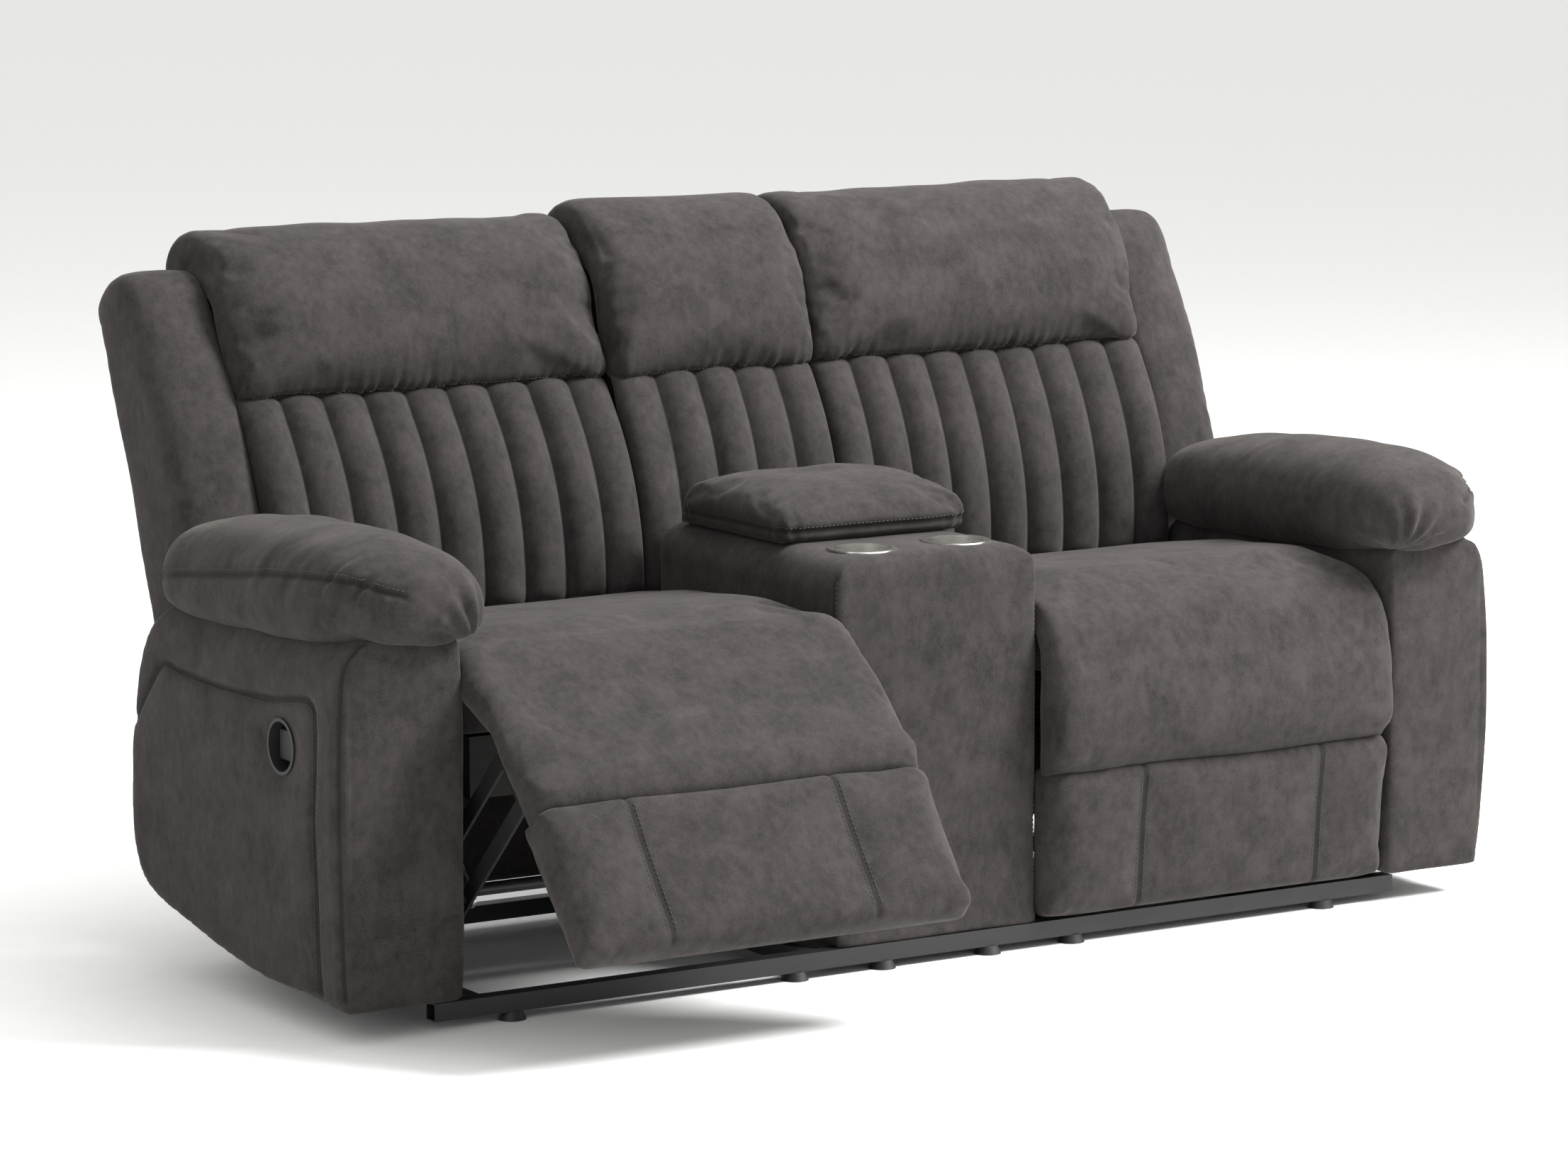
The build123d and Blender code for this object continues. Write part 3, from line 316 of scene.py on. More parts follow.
def eased(piece, rounds):
    """Even out a mesh with its neighbours, pushing it back out each time so that it keeps its size."""
    points = places_of(piece)
    edges = np.empty(len(piece.data.edges) * 2, int)
    piece.data.edges.foreach_get("vertices", edges)
    edges = edges.reshape(-1, 2)
    degree = np.bincount(edges.ravel(), minlength=len(points))[:, None]
    for share in EASING * rounds:
        total = np.column_stack([
            np.bincount(edges[:, 0], points[edges[:, 1], axis], len(points))
            + np.bincount(edges[:, 1], points[edges[:, 0], axis], len(points)) for axis in range(3)])
        points += share * (total / degree - points)
    put(piece, points)


def rounded_off(piece, axes, corner, inward, radius):
    """Round an edge of a block: pull what lies outside an arc between two axes back to the arc."""
    points = places_of(piece)
    corner = [place / 1000 + (axis == 1) * ARMS_MIDDLE for axis, place in zip(axes, corner)]
    radius = radius / 1000
    out = [(points[:, axis] - place) * way - radius for axis, place, way in zip(axes, corner, inward)]
    far = np.hypot(*out)
    over = (out[0] < 0) & (out[1] < 0) & (far > radius)
    for axis, place, way, gap in zip(axes, corner, inward, out):
        points[over, axis] = place + way * (radius + gap[over] * radius / far[over])
    put(piece, points)


def within(outline, points):
    """Which (back, up) points lie inside a closed outline."""
    inside = np.zeros(len(points), bool)
    for (a, b), (c, d) in zip(outline, np.roll(outline, -1, 0)):
        crosses = (b > points[:, 1]) != (d > points[:, 1])
        inside ^= crosses & (points[:, 0] < (c - a) * (points[:, 1] - b) / (d - b if d != b else 1e-12) + a)
    return inside


SWELL_STEPS = 20
HELD_LEAST = 0.02
CLOTH = {"quality": 4, "mass": 0.3, "tension_stiffness": 8, "compression_stiffness": 8, "shear_stiffness": 4,
         "bending_stiffness": 0.4, "use_pressure": True}


def swollen(piece, pressure, cap, held):
    """Blow a cover up as stuffing does. Points with a held weight of 1 stay, as along a sewn line."""
    rest = places_of(piece)
    cloth = piece.modifiers.new("Swell", "CLOTH")
    settings = cloth.settings
    for name, value in CLOTH.items():
        setattr(settings, name, value)
    settings.uniform_pressure_force = pressure
    settings.effector_weights.gravity = 0
    group = piece.vertex_groups.new(name="held")
    for index in np.nonzero(held > HELD_LEAST)[0]:
        group.add([int(index)], float(held[index]), "REPLACE")
    settings.vertex_group_mass = "held"
    scene = bpy.context.scene
    for step in range(1, SWELL_STEPS + 1):
        scene.frame_set(step)
    shown = piece.evaluated_get(bpy.context.evaluated_depsgraph_get())
    flat = np.empty(len(rest) * 3)
    shown.data.vertices.foreach_get("co", flat)
    move = flat.reshape(-1, 3) - rest
    far = np.maximum(np.linalg.norm(move, axis=1), 1e-9)[:, None]
    piece.modifiers.clear()
    piece.vertex_groups.clear()
    put(piece, rest + move / far * cap * np.tanh(far / cap))
    scene.frame_set(1)


def finer(piece):
    modifier = piece.modifiers.new("Finer", "SUBSURF")
    modifier.levels = 1
    modifier.render_levels = 1
    settled(piece)


def how_near(points, lines):
    """Distance of each point from the nearest of some lines."""
    nearest = np.full(len(points), 1.0)
    for line in lines:
        for start, end in zip(line, line[1:]):
            span = end - start
            share = np.clip((points - start) @ span / max(span @ span, 1e-12), 0, 1)
            gap = points - start - share[:, None] * span
            nearest = np.minimum(nearest, np.sqrt(np.einsum("ij,ij->i", gap, gap)))
    return nearest


def laid_on(piece, line):
    """A line moved to the nearest places on a mesh, with the normals there."""
    tree = BVHTree.FromObject(piece, bpy.context.evaluated_depsgraph_get())
    found = [tree.find_nearest(Vector(point)) for point in line]
    return np.array([hit[0] for hit in found]), np.array([hit[1] for hit in found])


# Width of the band of painted shade beside a seam.
PAINTED_SHADE_REACH = 0.014


def seamed(piece, lines, depth, reach):
    """Pull the cover in along sewn lines, and store how near each point is to them, for painted shade that darkens
    the cloth's colour there.
    """
    points = places_of(piece)
    near = how_near(points, lines)
    pushed(piece, -depth * bell(near, reach))
    # The seam attribute holds painted shade: 1 on a sewn line, fading to 0 a short way off; the cloth darkens its
    # colour by it.
    painted_shade = piece.data.attributes.get("seam") or piece.data.attributes.new("seam", "FLOAT", "POINT")
    before = np.empty(len(points))
    painted_shade.data.foreach_get("value", before)
    painted_shade.data.foreach_set("value", np.maximum(before, ramp(1 - near / PAINTED_SHADE_REACH)))


def pulled_in(piece, corners, depth, reach):
    """Draw a cover in where two seams meet at a corner."""
    points = places_of(piece)
    near = np.min([np.linalg.norm(points - corner, axis=1) for corner in corners], axis=0)
    pushed(piece, -depth * bell(near, reach))


STITCH_PITCH = 1.35
THREAD_SIDES = 6
# Shares of a stitch's length, with the thread's thickness and lift there.
SPINDLE = ((0.0, 0.35, 0.1), (0.25, 1.0, 0.6), (0.75, 1.0, 0.6), (1.0, 0.35, 0.1))


def stitched(name, piece, lines, length, thread):
    """Top stitches of thread along lines on a cover, as one mesh of short spindles."""
    points = []
    faces = []
    ring = full_turn(THREAD_SIDES)
    for line in lines:
        span = np.concatenate([[0], np.cumsum(np.linalg.norm(np.diff(line, axis=0), axis=1))])
        count = max(int(span[-1] / (length * STITCH_PITCH)), 2)
        spots = np.column_stack([np.interp(np.linspace(0, span[-1], count * 2 + 1), span, line[:, axis])
                                 for axis in range(3)])
        spots, normals = laid_on(piece, spots)
        for index in range(0, count * 2, 2):
            along = spots[index + 1] - spots[index]
            size = np.linalg.norm(along)
            if size < 1e-5:
                continue
            along *= length / size
            up = normals[index]
            aside = np.cross(along / length, up)
            first = len(points)
            for share, radius, lift in SPINDLE:
                middle = spots[index] + along * share + up * thread * lift
                for turn in ring:
                    points.append(middle + thread / 2 * radius * (np.cos(turn) * aside + np.sin(turn) * up))
            faces += ring_faces(len(SPINDLE), THREAD_SIDES, first)
    return meshed(name, points, faces)


WAVES = 6


def roughened(piece, amount, size, seed):
    """Slight unevenness of hand-stuffed padding, along the normals."""
    points = places_of(piece)
    wave = np.zeros(len(points))
    turns = np.random.default_rng(seed)
    for _ in range(WAVES):
        way = turns.normal(size=3)
        way *= 2 * np.pi / (size * turns.uniform(0.7, 1.6) * np.linalg.norm(way))
        wave += np.sin(points @ way + turns.uniform(0, 2 * np.pi)) / WAVES ** 0.5
    pushed(piece, amount * wave)


def other_side(piece, name):
    """A mirrored copy for the left of the sofa."""
    twin = bpy.data.objects.new(name, piece.data.copy())
    bpy.context.scene.collection.objects.link(twin)
    put(twin, places_of(twin) * (-1, 1, 1))
    twin.data.flip_normals()
    return twin


def cut_out(piece, cutter):
    """Cut one mesh out of another and throw the cutter away."""
    modifier = piece.modifiers.new("Cut", "BOOLEAN")
    modifier.operation = "DIFFERENCE"
    modifier.solver = "EXACT"
    modifier.object = cutter
    settled(piece)
    bpy.data.objects.remove(cutter)


def finished(piece, material, smooth=True):
    """Give a piece its material and smooth shading."""
    piece.data.materials.clear()
    piece.data.materials.append(material)
    piece.data.polygons.foreach_set("use_smooth", [smooth] * len(piece.data.polygons))
    piece.data.update()
    return piece


# Materials

def add_node(tree, kind, inputs=None, **settings):
    """Add a shader node, set it, and fill its sockets with values or with other nodes' outputs."""
    node = tree.nodes.new("ShaderNode" + kind)
    for name, value in settings.items():
        setattr(node, name, value)
    for socket, value in (inputs or {}).items():
        if isinstance(value, bpy.types.NodeSocket):
            tree.links.new(value, node.inputs[socket])
        else:
            node.inputs[socket].default_value = value
    return node


def new_material(name):
    """An empty material with its tree, its surface shader and the object's own coordinates."""
    material = bpy.data.materials.new(name)
    material.use_nodes = True
    tree = material.node_tree
    return material, tree, tree.nodes["Principled BSDF"], add_node(tree, "TexCoord").outputs["Object"]


def microsuede_brushed(finishes):
    # Polyester microsuede with a short brushed nap: it lies in patches, so one colour shows from nearly black to
    # warm grey, with no gloss and a soft bloom at grazing angles; painted shade darkens it along its seams.
    material, tree, surface, place = new_material("microsuede_brushed")
    patches = add_node(tree, "TexNoise", {"Vector": place, "Scale": 1 / 0.06, "Detail": 6.0, "Roughness": 0.66,
                                          "Distortion": 0.3})
    strokes_place = add_node(tree, "Mapping", {"Vector": place, "Scale": (1 / 0.012, 1 / 0.012, 1 / 0.019)})
    strokes = add_node(tree, "TexNoise", {"Vector": strokes_place.outputs[0], "Scale": 1.0, "Detail": 3.0})
    # The nap's fibres are finer than a pixel, so their tufts are drawn 2 mm wide.
    nap = add_node(tree, "TexNoise", {"Vector": place, "Scale": 1 / 0.002, "Detail": 2.0})
    shade = 0.0
    for texture, weight in ((patches, 0.45), (strokes, 0.25), (nap, 0.3)):
        inputs = {0: texture.outputs[0], 1: weight, 2: shade}
        shade = add_node(tree, "Math", inputs, operation="MULTIPLY_ADD").outputs[0]
    lie = add_node(tree, "MapRange", {"Value": shade, "From Min": 0.33, "From Max": 0.67})
    dark, pale = (*finishes.suede_dark, 1), (*finishes.suede_light, 1)
    cloth = add_node(tree, "Mix", {0: lie.outputs[0], 6: dark, 7: pale}, data_type="RGBA")
    # Painted shade: along the seams the seam attribute mixes the colour towards near black (#1a1918), standing in for
    # the shade that falls in sewn creases.
    seam = add_node(tree, "Attribute", attribute_name="seam")
    painted_crease_shade = add_node(tree, "MapRange", {"Value": seam.outputs["Fac"], "From Min": 0.45, "From Max": 0.95,
                                         "To Max": 0.75}, interpolation_type="SMOOTHSTEP")
    colour = add_node(tree, "Mix", {0: painted_crease_shade.outputs[0], 6: cloth.outputs[2], 7: (*to_linear("#1a1918"), 1)},
                      data_type="RGBA")
    tufts = {0: nap.outputs[0], 1: 0.35, 2: strokes.outputs[0]}
    height = add_node(tree, "Math", tufts, operation="MULTIPLY_ADD")
    bump = add_node(tree, "Bump", {"Height": height.outputs[0], "Strength": 0.35, "Distance": 0.0012})
    tree.links.new(colour.outputs[2], surface.inputs["Base Color"])
    tree.links.new(bump.outputs[0], surface.inputs["Normal"])
    values = {"Roughness": 0.93, "IOR": 1.5, "Specular IOR Level": 0.2, "Sheen Weight": 0.18,
              "Sheen Roughness": 0.42, "Sheen Tint": (*to_linear("#b0aaa3"), 1)}
    for name, value in values.items():
        surface.inputs[name].default_value = value
    return material


def coated(tree, surface, tone, colours, gloss, relief=None, **values):
    """Finish a surface: two colours mixed by a texture, one gloss or a range of it, and a height with its bump."""
    dark, pale = [(*colour, 1) for colour in colours]
    tint = add_node(tree, "Mix", {0: tone, 6: dark, 7: pale}, data_type="RGBA")
    tree.links.new(tint.outputs[2], surface.inputs["Base Color"])
    if isinstance(gloss, tuple):
        spread = add_node(tree, "MapRange", {"Value": tone, "To Min": gloss[0], "To Max": gloss[1]})
        tree.links.new(spread.outputs[0], surface.inputs["Roughness"])
    else:
        surface.inputs["Roughness"].default_value = gloss
    if relief:
        height, strength, distance = relief
        bump = add_node(tree, "Bump", {"Height": height, "Strength": strength, "Distance": distance})
        tree.links.new(bump.outputs[0], surface.inputs["Normal"])
    for name, value in values.items():
        surface.inputs[name].default_value = value


def polyester_thread(finishes):
    # Bonded polyester thread, twisted in three plies: finely mottled by the plies, a little glossier than suede.
    material, tree, surface, place = new_material("polyester_thread_twisted")
    ply = add_node(tree, "TexNoise", {"Vector": place, "Scale": 1 / 0.0006, "Detail": 1.0})
    coated(tree, surface, ply.outputs[0], (to_linear("#242221"), finishes.thread), 0.6, IOR=1.57)
    return material


def steel_black_enamel(finishes):
    # Mild steel pressings, dipped in black enamel: dark, half gloss, with the faint orange peel of the dried coat.
    material, tree, surface, place = new_material("mild_steel_black_enamel")
    peel = add_node(tree, "TexNoise", {"Vector": place, "Scale": 1 / 0.003, "Detail": 2.0})
    dust = add_node(tree, "TexNoise", {"Vector": place, "Scale": 1 / 0.06, "Detail": 4.0})
    coated(tree, surface, dust.outputs[0], (finishes.black_steel, to_linear("#141414")), (0.42, 0.62),
           (peel.outputs[0], 0.12, 0.0005), IOR=1.52)
    return material


def steel_zinc_plated():
    # Zinc-plated steel links: pale grey metal with small crystal spangles that differ in tone and gloss.
    material, tree, surface, place = new_material("steel_zinc_plated")
    spangle = add_node(tree, "TexVoronoi", {"Vector": place, "Scale": 1 / 0.007})
    coated(tree, surface, spangle.outputs["Color"], (to_linear("#8f9396"), to_linear("#c3c6c8")), (0.28, 0.46),
           Metallic=1.0)
    return material


def stainless_spun():
    # Stainless steel cups, spun and brushed: fine rings round the cup that spread the highlights.
    material, tree, surface, place = new_material("stainless_steel_spun")
    rings_place = add_node(tree, "Mapping", {"Vector": place, "Scale": (1 / 0.3, 1 / 0.3, 1 / 0.0012)})
    rings = add_node(tree, "TexNoise", {"Vector": rings_place.outputs[0], "Scale": 1.0, "Detail": 2.0})
    coated(tree, surface, rings.outputs[0], (to_linear("#d6d4d0"), to_linear("#ecebe8")), (0.2, 0.32),
           (rings.outputs[0], 0.04, 0.0001), Metallic=1.0)
    return material


def abs_moulded(finishes):
    # Black ABS, moulded in a spark-eroded tool: an even fine grain that breaks up its low gloss.
    material, tree, surface, place = new_material("abs_moulded_grained")
    grain = add_node(tree, "TexNoise", {"Vector": place, "Scale": 1 / 0.0012, "Detail": 1.0})
    wear = add_node(tree, "TexNoise", {"Vector": place, "Scale": 1 / 0.02, "Detail": 3.0})
    coated(tree, surface, wear.outputs[0], (finishes.black_plastic, to_linear("#101010")), (0.5, 0.65),
           (grain.outputs[0], 0.2, 0.0003), IOR=1.54)
    return material


def long_grain(tree, place, distortion):
    """Streaks of wood grain along x."""
    streaks = add_node(tree, "Mapping", {"Vector": place, "Scale": (1 / 0.25, 1 / 0.02, 1 / 0.006)})
    grain = add_node(tree, "TexNoise", {"Vector": streaks.outputs[0], "Scale": 1.0, "Detail": 5.0,
                                        "Distortion": distortion})
    return grain.outputs[0]


def plywood_sawn():
    # Poplar plywood, sawn and left raw: pale tan with long streaks of grain and a dry surface.
    material, tree, surface, place = new_material("plywood_poplar_sawn")
    grain = long_grain(tree, place, 0.4)
    colours = to_linear("#8a6a46"), to_linear("#cdb088")
    coated(tree, surface, grain, colours, 0.72, (grain, 0.25, 0.0005), IOR=1.5)
    return material


def plywood_stained():
    # Plywood stained black where it may be seen: the grain still shows as a dry, faint relief.
    material, tree, surface, place = new_material("plywood_stained_black")
    grain = long_grain(tree, place, 0.0)
    colours = to_linear("#121110"), to_linear("#2a2725")
    coated(tree, surface, grain, colours, 0.8, (grain, 0.3, 0.0005), IOR=1.5)
    return material


def webbing_woven():
    # Elastic polypropylene webbing: black with crossing ribs of the weave and a slight plastic gleam.
    material, tree, surface, place = new_material("polypropylene_webbing_woven")
    # The 1.5 mm picks are drawn 4 mm apart so that they show.
    ribs = {"Vector": place, "Scale": 1 / 0.004 / 3.14159, "Distortion": 0.3}
    warp, weft = [add_node(tree, "TexWave", ribs, bands_direction=way).outputs["Fac"] for way in ("X", "Y")]
    weave = add_node(tree, "Math", {0: warp, 1: weft}, operation="MULTIPLY").outputs[0]
    colours = to_linear("#161616"), to_linear("#2e2d2c")
    coated(tree, surface, weave, colours, 0.55, (weave, 0.5, 0.0008), IOR=1.49)
    return material


def floor_paper(stage):
    # Pale studio paper, rolled out: matt, with the faintest unevenness of pulp.
    material, tree, surface, place = new_material("studio_paper_rolled")
    pulp = add_node(tree, "TexNoise", {"Vector": place, "Scale": 1 / 0.05, "Detail": 3.0})
    coated(tree, surface, pulp.outputs[0], (stage.floor, to_linear("#fafaf9")), 0.85, IOR=1.45)
    return material


# Fitting pieces to the frame

# Where a seat's top bends to follow the footrest. The left one stands part open: its cover is lifted over the
# knee and its face drawn in before it is bent.
BEND_START = (-405.0, 510.0)
BEND_END = (-466.0, 420.0)
KNEE = (-425.0, 505.0)
KNEE_LIFT, KNEE_REACH = 0.022, 0.055
FACE_DRAWN, FACE_SPAN, FACE_RAMP = 0.025, (0.262, 0.485), 0.060
FACE_REAR, FACE_THICK = (-412.0, 350.0), 0.060


def bend_share(points):
    """How far each point of the seat's top follows the footrest, from 0 on the seat to 1 on the footrest."""
    start = np.array(in_metres(BEND_START))
    span = np.array(in_metres(BEND_END)) - start
    share = ramp((points[:, 1:] - start) @ span / (span @ span))
    return share * share * (3 - 2 * share)


def on_the_left(piece, name, part):
    """The mirrored twin of a right-hand piece, as the left seat stands: part open and a little reclined."""
    twin = other_side(piece, name)
    points = places_of(twin)
    if part == "back":
        points = turned(points, in_metres(HINGE), LEFT_RECLINE)
    if part == "footrest":
        points = turned(points, in_metres(FOLD), LEFT_OPENING)
    if part == "fold":
        share = bend_share(points)
        ways = outward(twin)
        near = np.hypot(*(points[:, 1:] - in_metres(KNEE)).T)
        knee = bell(near, KNEE_REACH) * ramp(ways[:, 2] - ways[:, 1])
        face = ramp(np.minimum(points[:, 2] - FACE_SPAN[0], FACE_SPAN[1] - points[:, 2]) / FACE_RAMP)
        thick = ramp((in_metres(FACE_REAR)[0] - points[:, 1]) / FACE_THICK)
        points += ways * (KNEE_LIFT * knee)[:, None]
        points[:, 1] += FACE_DRAWN * face * thick
        points = turned(points, in_metres(FOLD), LEFT_OPENING * share)
    if part != "frame":
        points[:, 1] -= LEFT_GLIDE / 1000
    put(twin, points)
    return twin


def fitted(piece, body, nodes):
    """Set a padded piece on its body and let it stand for the solids it covers, hiding them."""
    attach(piece, body)
    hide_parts(*nodes)


def sewn_to(piece, stitches):
    stitches.parent = piece


def both_sides(piece, sewing, part, nodes):
    """Fit a right-hand cover with its stitches, and their twins on the left. Nodes are named without their side."""
    left = on_the_left(piece, piece.name.replace("right", "left"), part)
    left_sewing = on_the_left(sewing, sewing.name.replace("right", "left").replace("_cover_", "_"), part)
    for side, cover, stitches in (("right", piece, sewing), ("left", left, left_sewing)):
        body = part if part == "frame" else side + "_" + part
        fitted(cover, body, [side + "_" + node for node in nodes])
        sewn_to(cover, stitches)


def leaned(points):
    """Points of a back, drawn upright about its hinge, at its lean."""
    return turned(np.asarray(points, float), HINGE, LEAN)


def upright(x, rear, up):
    """A point of a back from its place across, behind the hinge and above it, in millimetres."""
    return (x, HINGE[0] + rear, HINGE[1] + up)


def back_line(points):
    """A line drawn on an upright back, in the frame."""
    return metres(leaned([upright(*point) for point in points]))


HOLD = 1.6


def held_near(piece, lines, reach, flat=False):
    """Weights that hold a cover near some lines. Flat lines hold it all along their width."""
    points = places_of(piece)
    if flat:
        points = points * (0, 1, 1)
        lines = [line * (0, 1, 1) for line in lines]
    return ramp(HOLD - how_near(points, lines) / reach)


class SofaOperator:
    bl_options = {"REGISTER", "UNDO"}

    def cloth(self):
        return bpy.data.materials.get("microsuede_brushed") or microsuede_brushed(bpy.context.scene.sofa_finishes)

    def thread(self):
        return (bpy.data.materials.get("polyester_thread_twisted")
                or polyester_thread(bpy.context.scene.sofa_finishes))

    def sew(self, name, piece, lines):
        soft = bpy.context.scene.sofa_soft
        return finished(stitched(name, piece, lines, soft.stitch, soft.thread), self.thread())


class SOFA_OT_seat_tops(SofaOperator, bpy.types.Operator):
    """One padded cover from the seat's back, over its front edge and down the footrest, and the core under it"""
    bl_idname = "sofa.seat_tops"
    bl_label = "Seat tops"

    OUTER = ((78, 470), (0, 488), (-120, 504), (-250, 515), (-330, 518), (-380, 513), (-418, 501), (-444, 478),
             (-461, 447), (-471, 405), (-478, 355), (-481, 310), (-479, 283), (-470, 265), (-453, 256))
    INNER = ((-440, 244), (-420, 243), (-412, 262), (-412, 350), (-412, 430), (-400, 452), (-380, 458), (-250, 458),
             (-100, 455), (78, 447))
    EDGES = ((0, 10), (2, 6), (6, 3), (14, 1), (28, 0))
    TUCK, TUCK_DEPTH, TUCK_REACH = (-470.0, 262.0), 0.006, 0.018
    SWELL_SHARE = 0.45
    CORE_EDGES = ((0, 8), (4, 3), (12, 0))
    CORE = ((-402, 397), (74, 397), (74, 443), (-392, 454))

    def execute(self, context):
        soft = context.scene.sofa_soft
        outline = curve_through(self.OUTER + self.INNER, 150, closed=True)
        top = across("right_seat_top", outline, BACK_X, self.EDGES, self.INNER)
        remeshed(top, soft.voxel)
        eased(top, 3)
        inner = metres([(0, *point) for point in self.INNER])
        swollen(top, soft.pressure, soft.swell * self.SWELL_SHARE, held_near(top, [inner], 0.012, flat=True))
        finer(top)
        roughened(top, 0.0012, 0.16, 3)
        pulled_in(top, metres([(x, *self.TUCK) for x in SEAT_X]), self.TUCK_DEPTH, self.TUCK_REACH)
        finished(top, self.cloth())
        left = on_the_left(top, "left_seat_top", "fold")
        for side, piece in (("right", top), ("left", left)):
            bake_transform(piece)
            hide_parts(side + "_seat_cushion", side + "_footrest_upper_pad")
        core = across("right_seat_core", np.asarray(self.CORE, float), SEAT_X, self.CORE_EDGES)
        remeshed(core, soft.voxel)
        eased(core, 4)
        finished(core, self.cloth())
        for side, piece in (("right", core), ("left", on_the_left(core, "left_seat_core", "seat"))):
            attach(piece, side + "_seat")
        return {"FINISHED"}


class SOFA_OT_footrest_panels(SofaOperator, bpy.types.Operator):
    """The lower padded panel of each footrest, with two double-stitched seams"""
    bl_idname = "sofa.footrest_panels"
    bl_label = "Footrest panels"

    OUTLINE = ((-425, 258), (-442, 261), (-460, 258), (-467, 248), (-464, 216), (-458, 169), (-453, 94), (-450, 58),
               (-442, 46), (-428, 44), (-401, 46), (-401, 100), (-401, 200), (-401, 254))
    REAR = tuple((-401, up) for up in (46, 80, 120, 160, 200, 254))
    BACK = ((0, -401, 48), (0, -401, 252))
    EDGES = ((0, 10), (1.5, 6.5), (5, 3), (12, 1), (26, 0))
    TUCK, TUCK_DEPTH, TUCK_REACH = (-464.0, 254.0), 0.005, 0.016
    SEAM_SHARES = (0.255, 0.785)
    ROW_ASIDE = 0.006
    SWELL_SHARE = 0.4

    def execute(self, context):
        soft = context.scene.sofa_soft
        outline = curve_through(self.OUTLINE, 90, closed=True)
        panel = across("right_footrest_panel", outline, BACK_X, self.EDGES, self.REAR)
        remeshed(panel, soft.voxel * 0.75)
        eased(panel, 2)
        places = [SEAT_X[0] + share * (SEAT_X[1] - SEAT_X[0]) for share in self.SEAM_SHARES]
        seams = [metres(curve_through([(x, *point) for point in self.OUTLINE[2:9]], 30)) for x in places]
        held = np.maximum(held_near(panel, [metres(self.BACK)], 0.01, flat=True), held_near(panel, seams, 0.01))
        swollen(panel, soft.pressure, soft.swell * self.SWELL_SHARE, held)
        finer(panel)
        pulled_in(panel, metres([(x, *self.TUCK) for x in SEAT_X]), self.TUCK_DEPTH, self.TUCK_REACH)
        seams = [laid_on(panel, seam)[0] for seam in seams]
        seamed(panel, seams, soft.seam_depth * 0.5, 0.005)
        finished(panel, self.cloth())
        rows = [seam[2:-2] + (aside, 0, 0) for seam in seams for aside in (-self.ROW_ASIDE, self.ROW_ASIDE)]
        stitches = self.sew("right_footrest_panel_stitches", panel, rows)
        both_sides(panel, stitches, "footrest", ["footrest_lower_pad"])
        return {"FINISHED"}


class SOFA_OT_back_channels(SofaOperator, bpy.types.Operator):
    """Upright stuffed channels of both seat backs and the centre back"""
    bl_idname = "sofa.back_channels"
    bl_label = "Back channels"

    LOW, HIGH = 52.0, 400.0
    MIDDLE, HALF = 220.5, 162.5
    FRONT, BOW, BACK = -118.0, 32.0, -57.0
    ROUND = 0.965
    TOP_TUCK, FOOT_TUCK = (372, 28, 26), (66, 14, 14)
    FLATTER_FROM, FLATTER_OVER, FLATTER_BY = 330, 70, 0.35

    def bow(self, up):
        """How far behind the hinge the front of the pad is at a height."""
        return self.FRONT + self.BOW * ((up - self.MIDDLE) / self.HALF) ** 2

    def channelled(self, name, x, count, depth, seed):
        """A pad of channels: rings across its width, one above another."""
        samples = 12
        share = np.linspace(-1, 1, samples + 1)
        valley = (1 - np.sqrt(1 - (self.ROUND * share) ** 2)) / (1 - (1 - self.ROUND ** 2) ** 0.5)
        valley = np.append(np.tile(valley[:-1], count), 1.0)
        wide = np.linspace(x[0], x[1], len(valley))
        behind = np.linspace(x[1] - 3, x[0] + 3, 24)
        slack = np.random.default_rng(seed).normal(0, 1.0, (count, 3))
        rings = []
        for up in np.linspace(self.LOW, self.HIGH, 48):
            (top, top_span, top_in), (foot, foot_span, foot_in) = self.TOP_TUCK, self.FOOT_TUCK
            tuck = ramp((up - top) / top_span) ** 2 * top_in + ramp((foot - up) / foot_span) ** 2 * foot_in
            full = 1 - self.FLATTER_BY * ramp((up - self.FLATTER_FROM) / self.FLATTER_OVER) ** 2
            stuffed = np.repeat(slack @ (1, np.sin(up / 60), np.cos(up / 45)), samples)
            front = self.bow(up) + tuck + depth * valley * full + np.append(stuffed, 0) * (1 - valley)
            sway = 1.2 * np.sin(up / 70 + seed) * np.sin(np.pi * (wide - x[0]) / (x[1] - x[0]))
            ring = [upright(*point) for point in zip(wide + sway, front, np.full(len(wide), up))]
            ring += [upright(place, self.BACK, up) for place in behind]
            rings.append(metres(leaned(ring)))
        pad = lofted(name, rings)
        finer(pad)
        pitch = (x[1] - x[0]) / count
        heights = np.linspace(self.LOW + 8, self.HIGH - 10, 24)
        seams = []
        for index in range(1, count):
            line = [(x[0] + index * pitch, self.bow(up) + depth, up) for up in heights]
            seams.append(laid_on(pad, back_line(line))[0])
        seamed(pad, seams, 0.002, 0.009)
        return finished(pad, self.cloth())

    def execute(self, context):
        soft = context.scene.sofa_soft
        depth = soft.channel_depth * 1000
        right = self.channelled("right_channels", BACK_X, soft.channel_count, depth, 1)
        first = self.channelled("left_first", BACK_X, soft.channel_count, depth, 2)
        left = on_the_left(first, "left_channels", "back")
        bpy.data.objects.remove(first)
        centre = self.channelled("centre_channels", CENTRE_X, soft.centre_count, depth, 3)
        fitted(right, "right_back", ["right_back_channels"])
        fitted(left, "left_back", ["left_back_channels"])
        fitted(centre, "frame", ["centre_back_channels"])
        return {"FINISHED"}


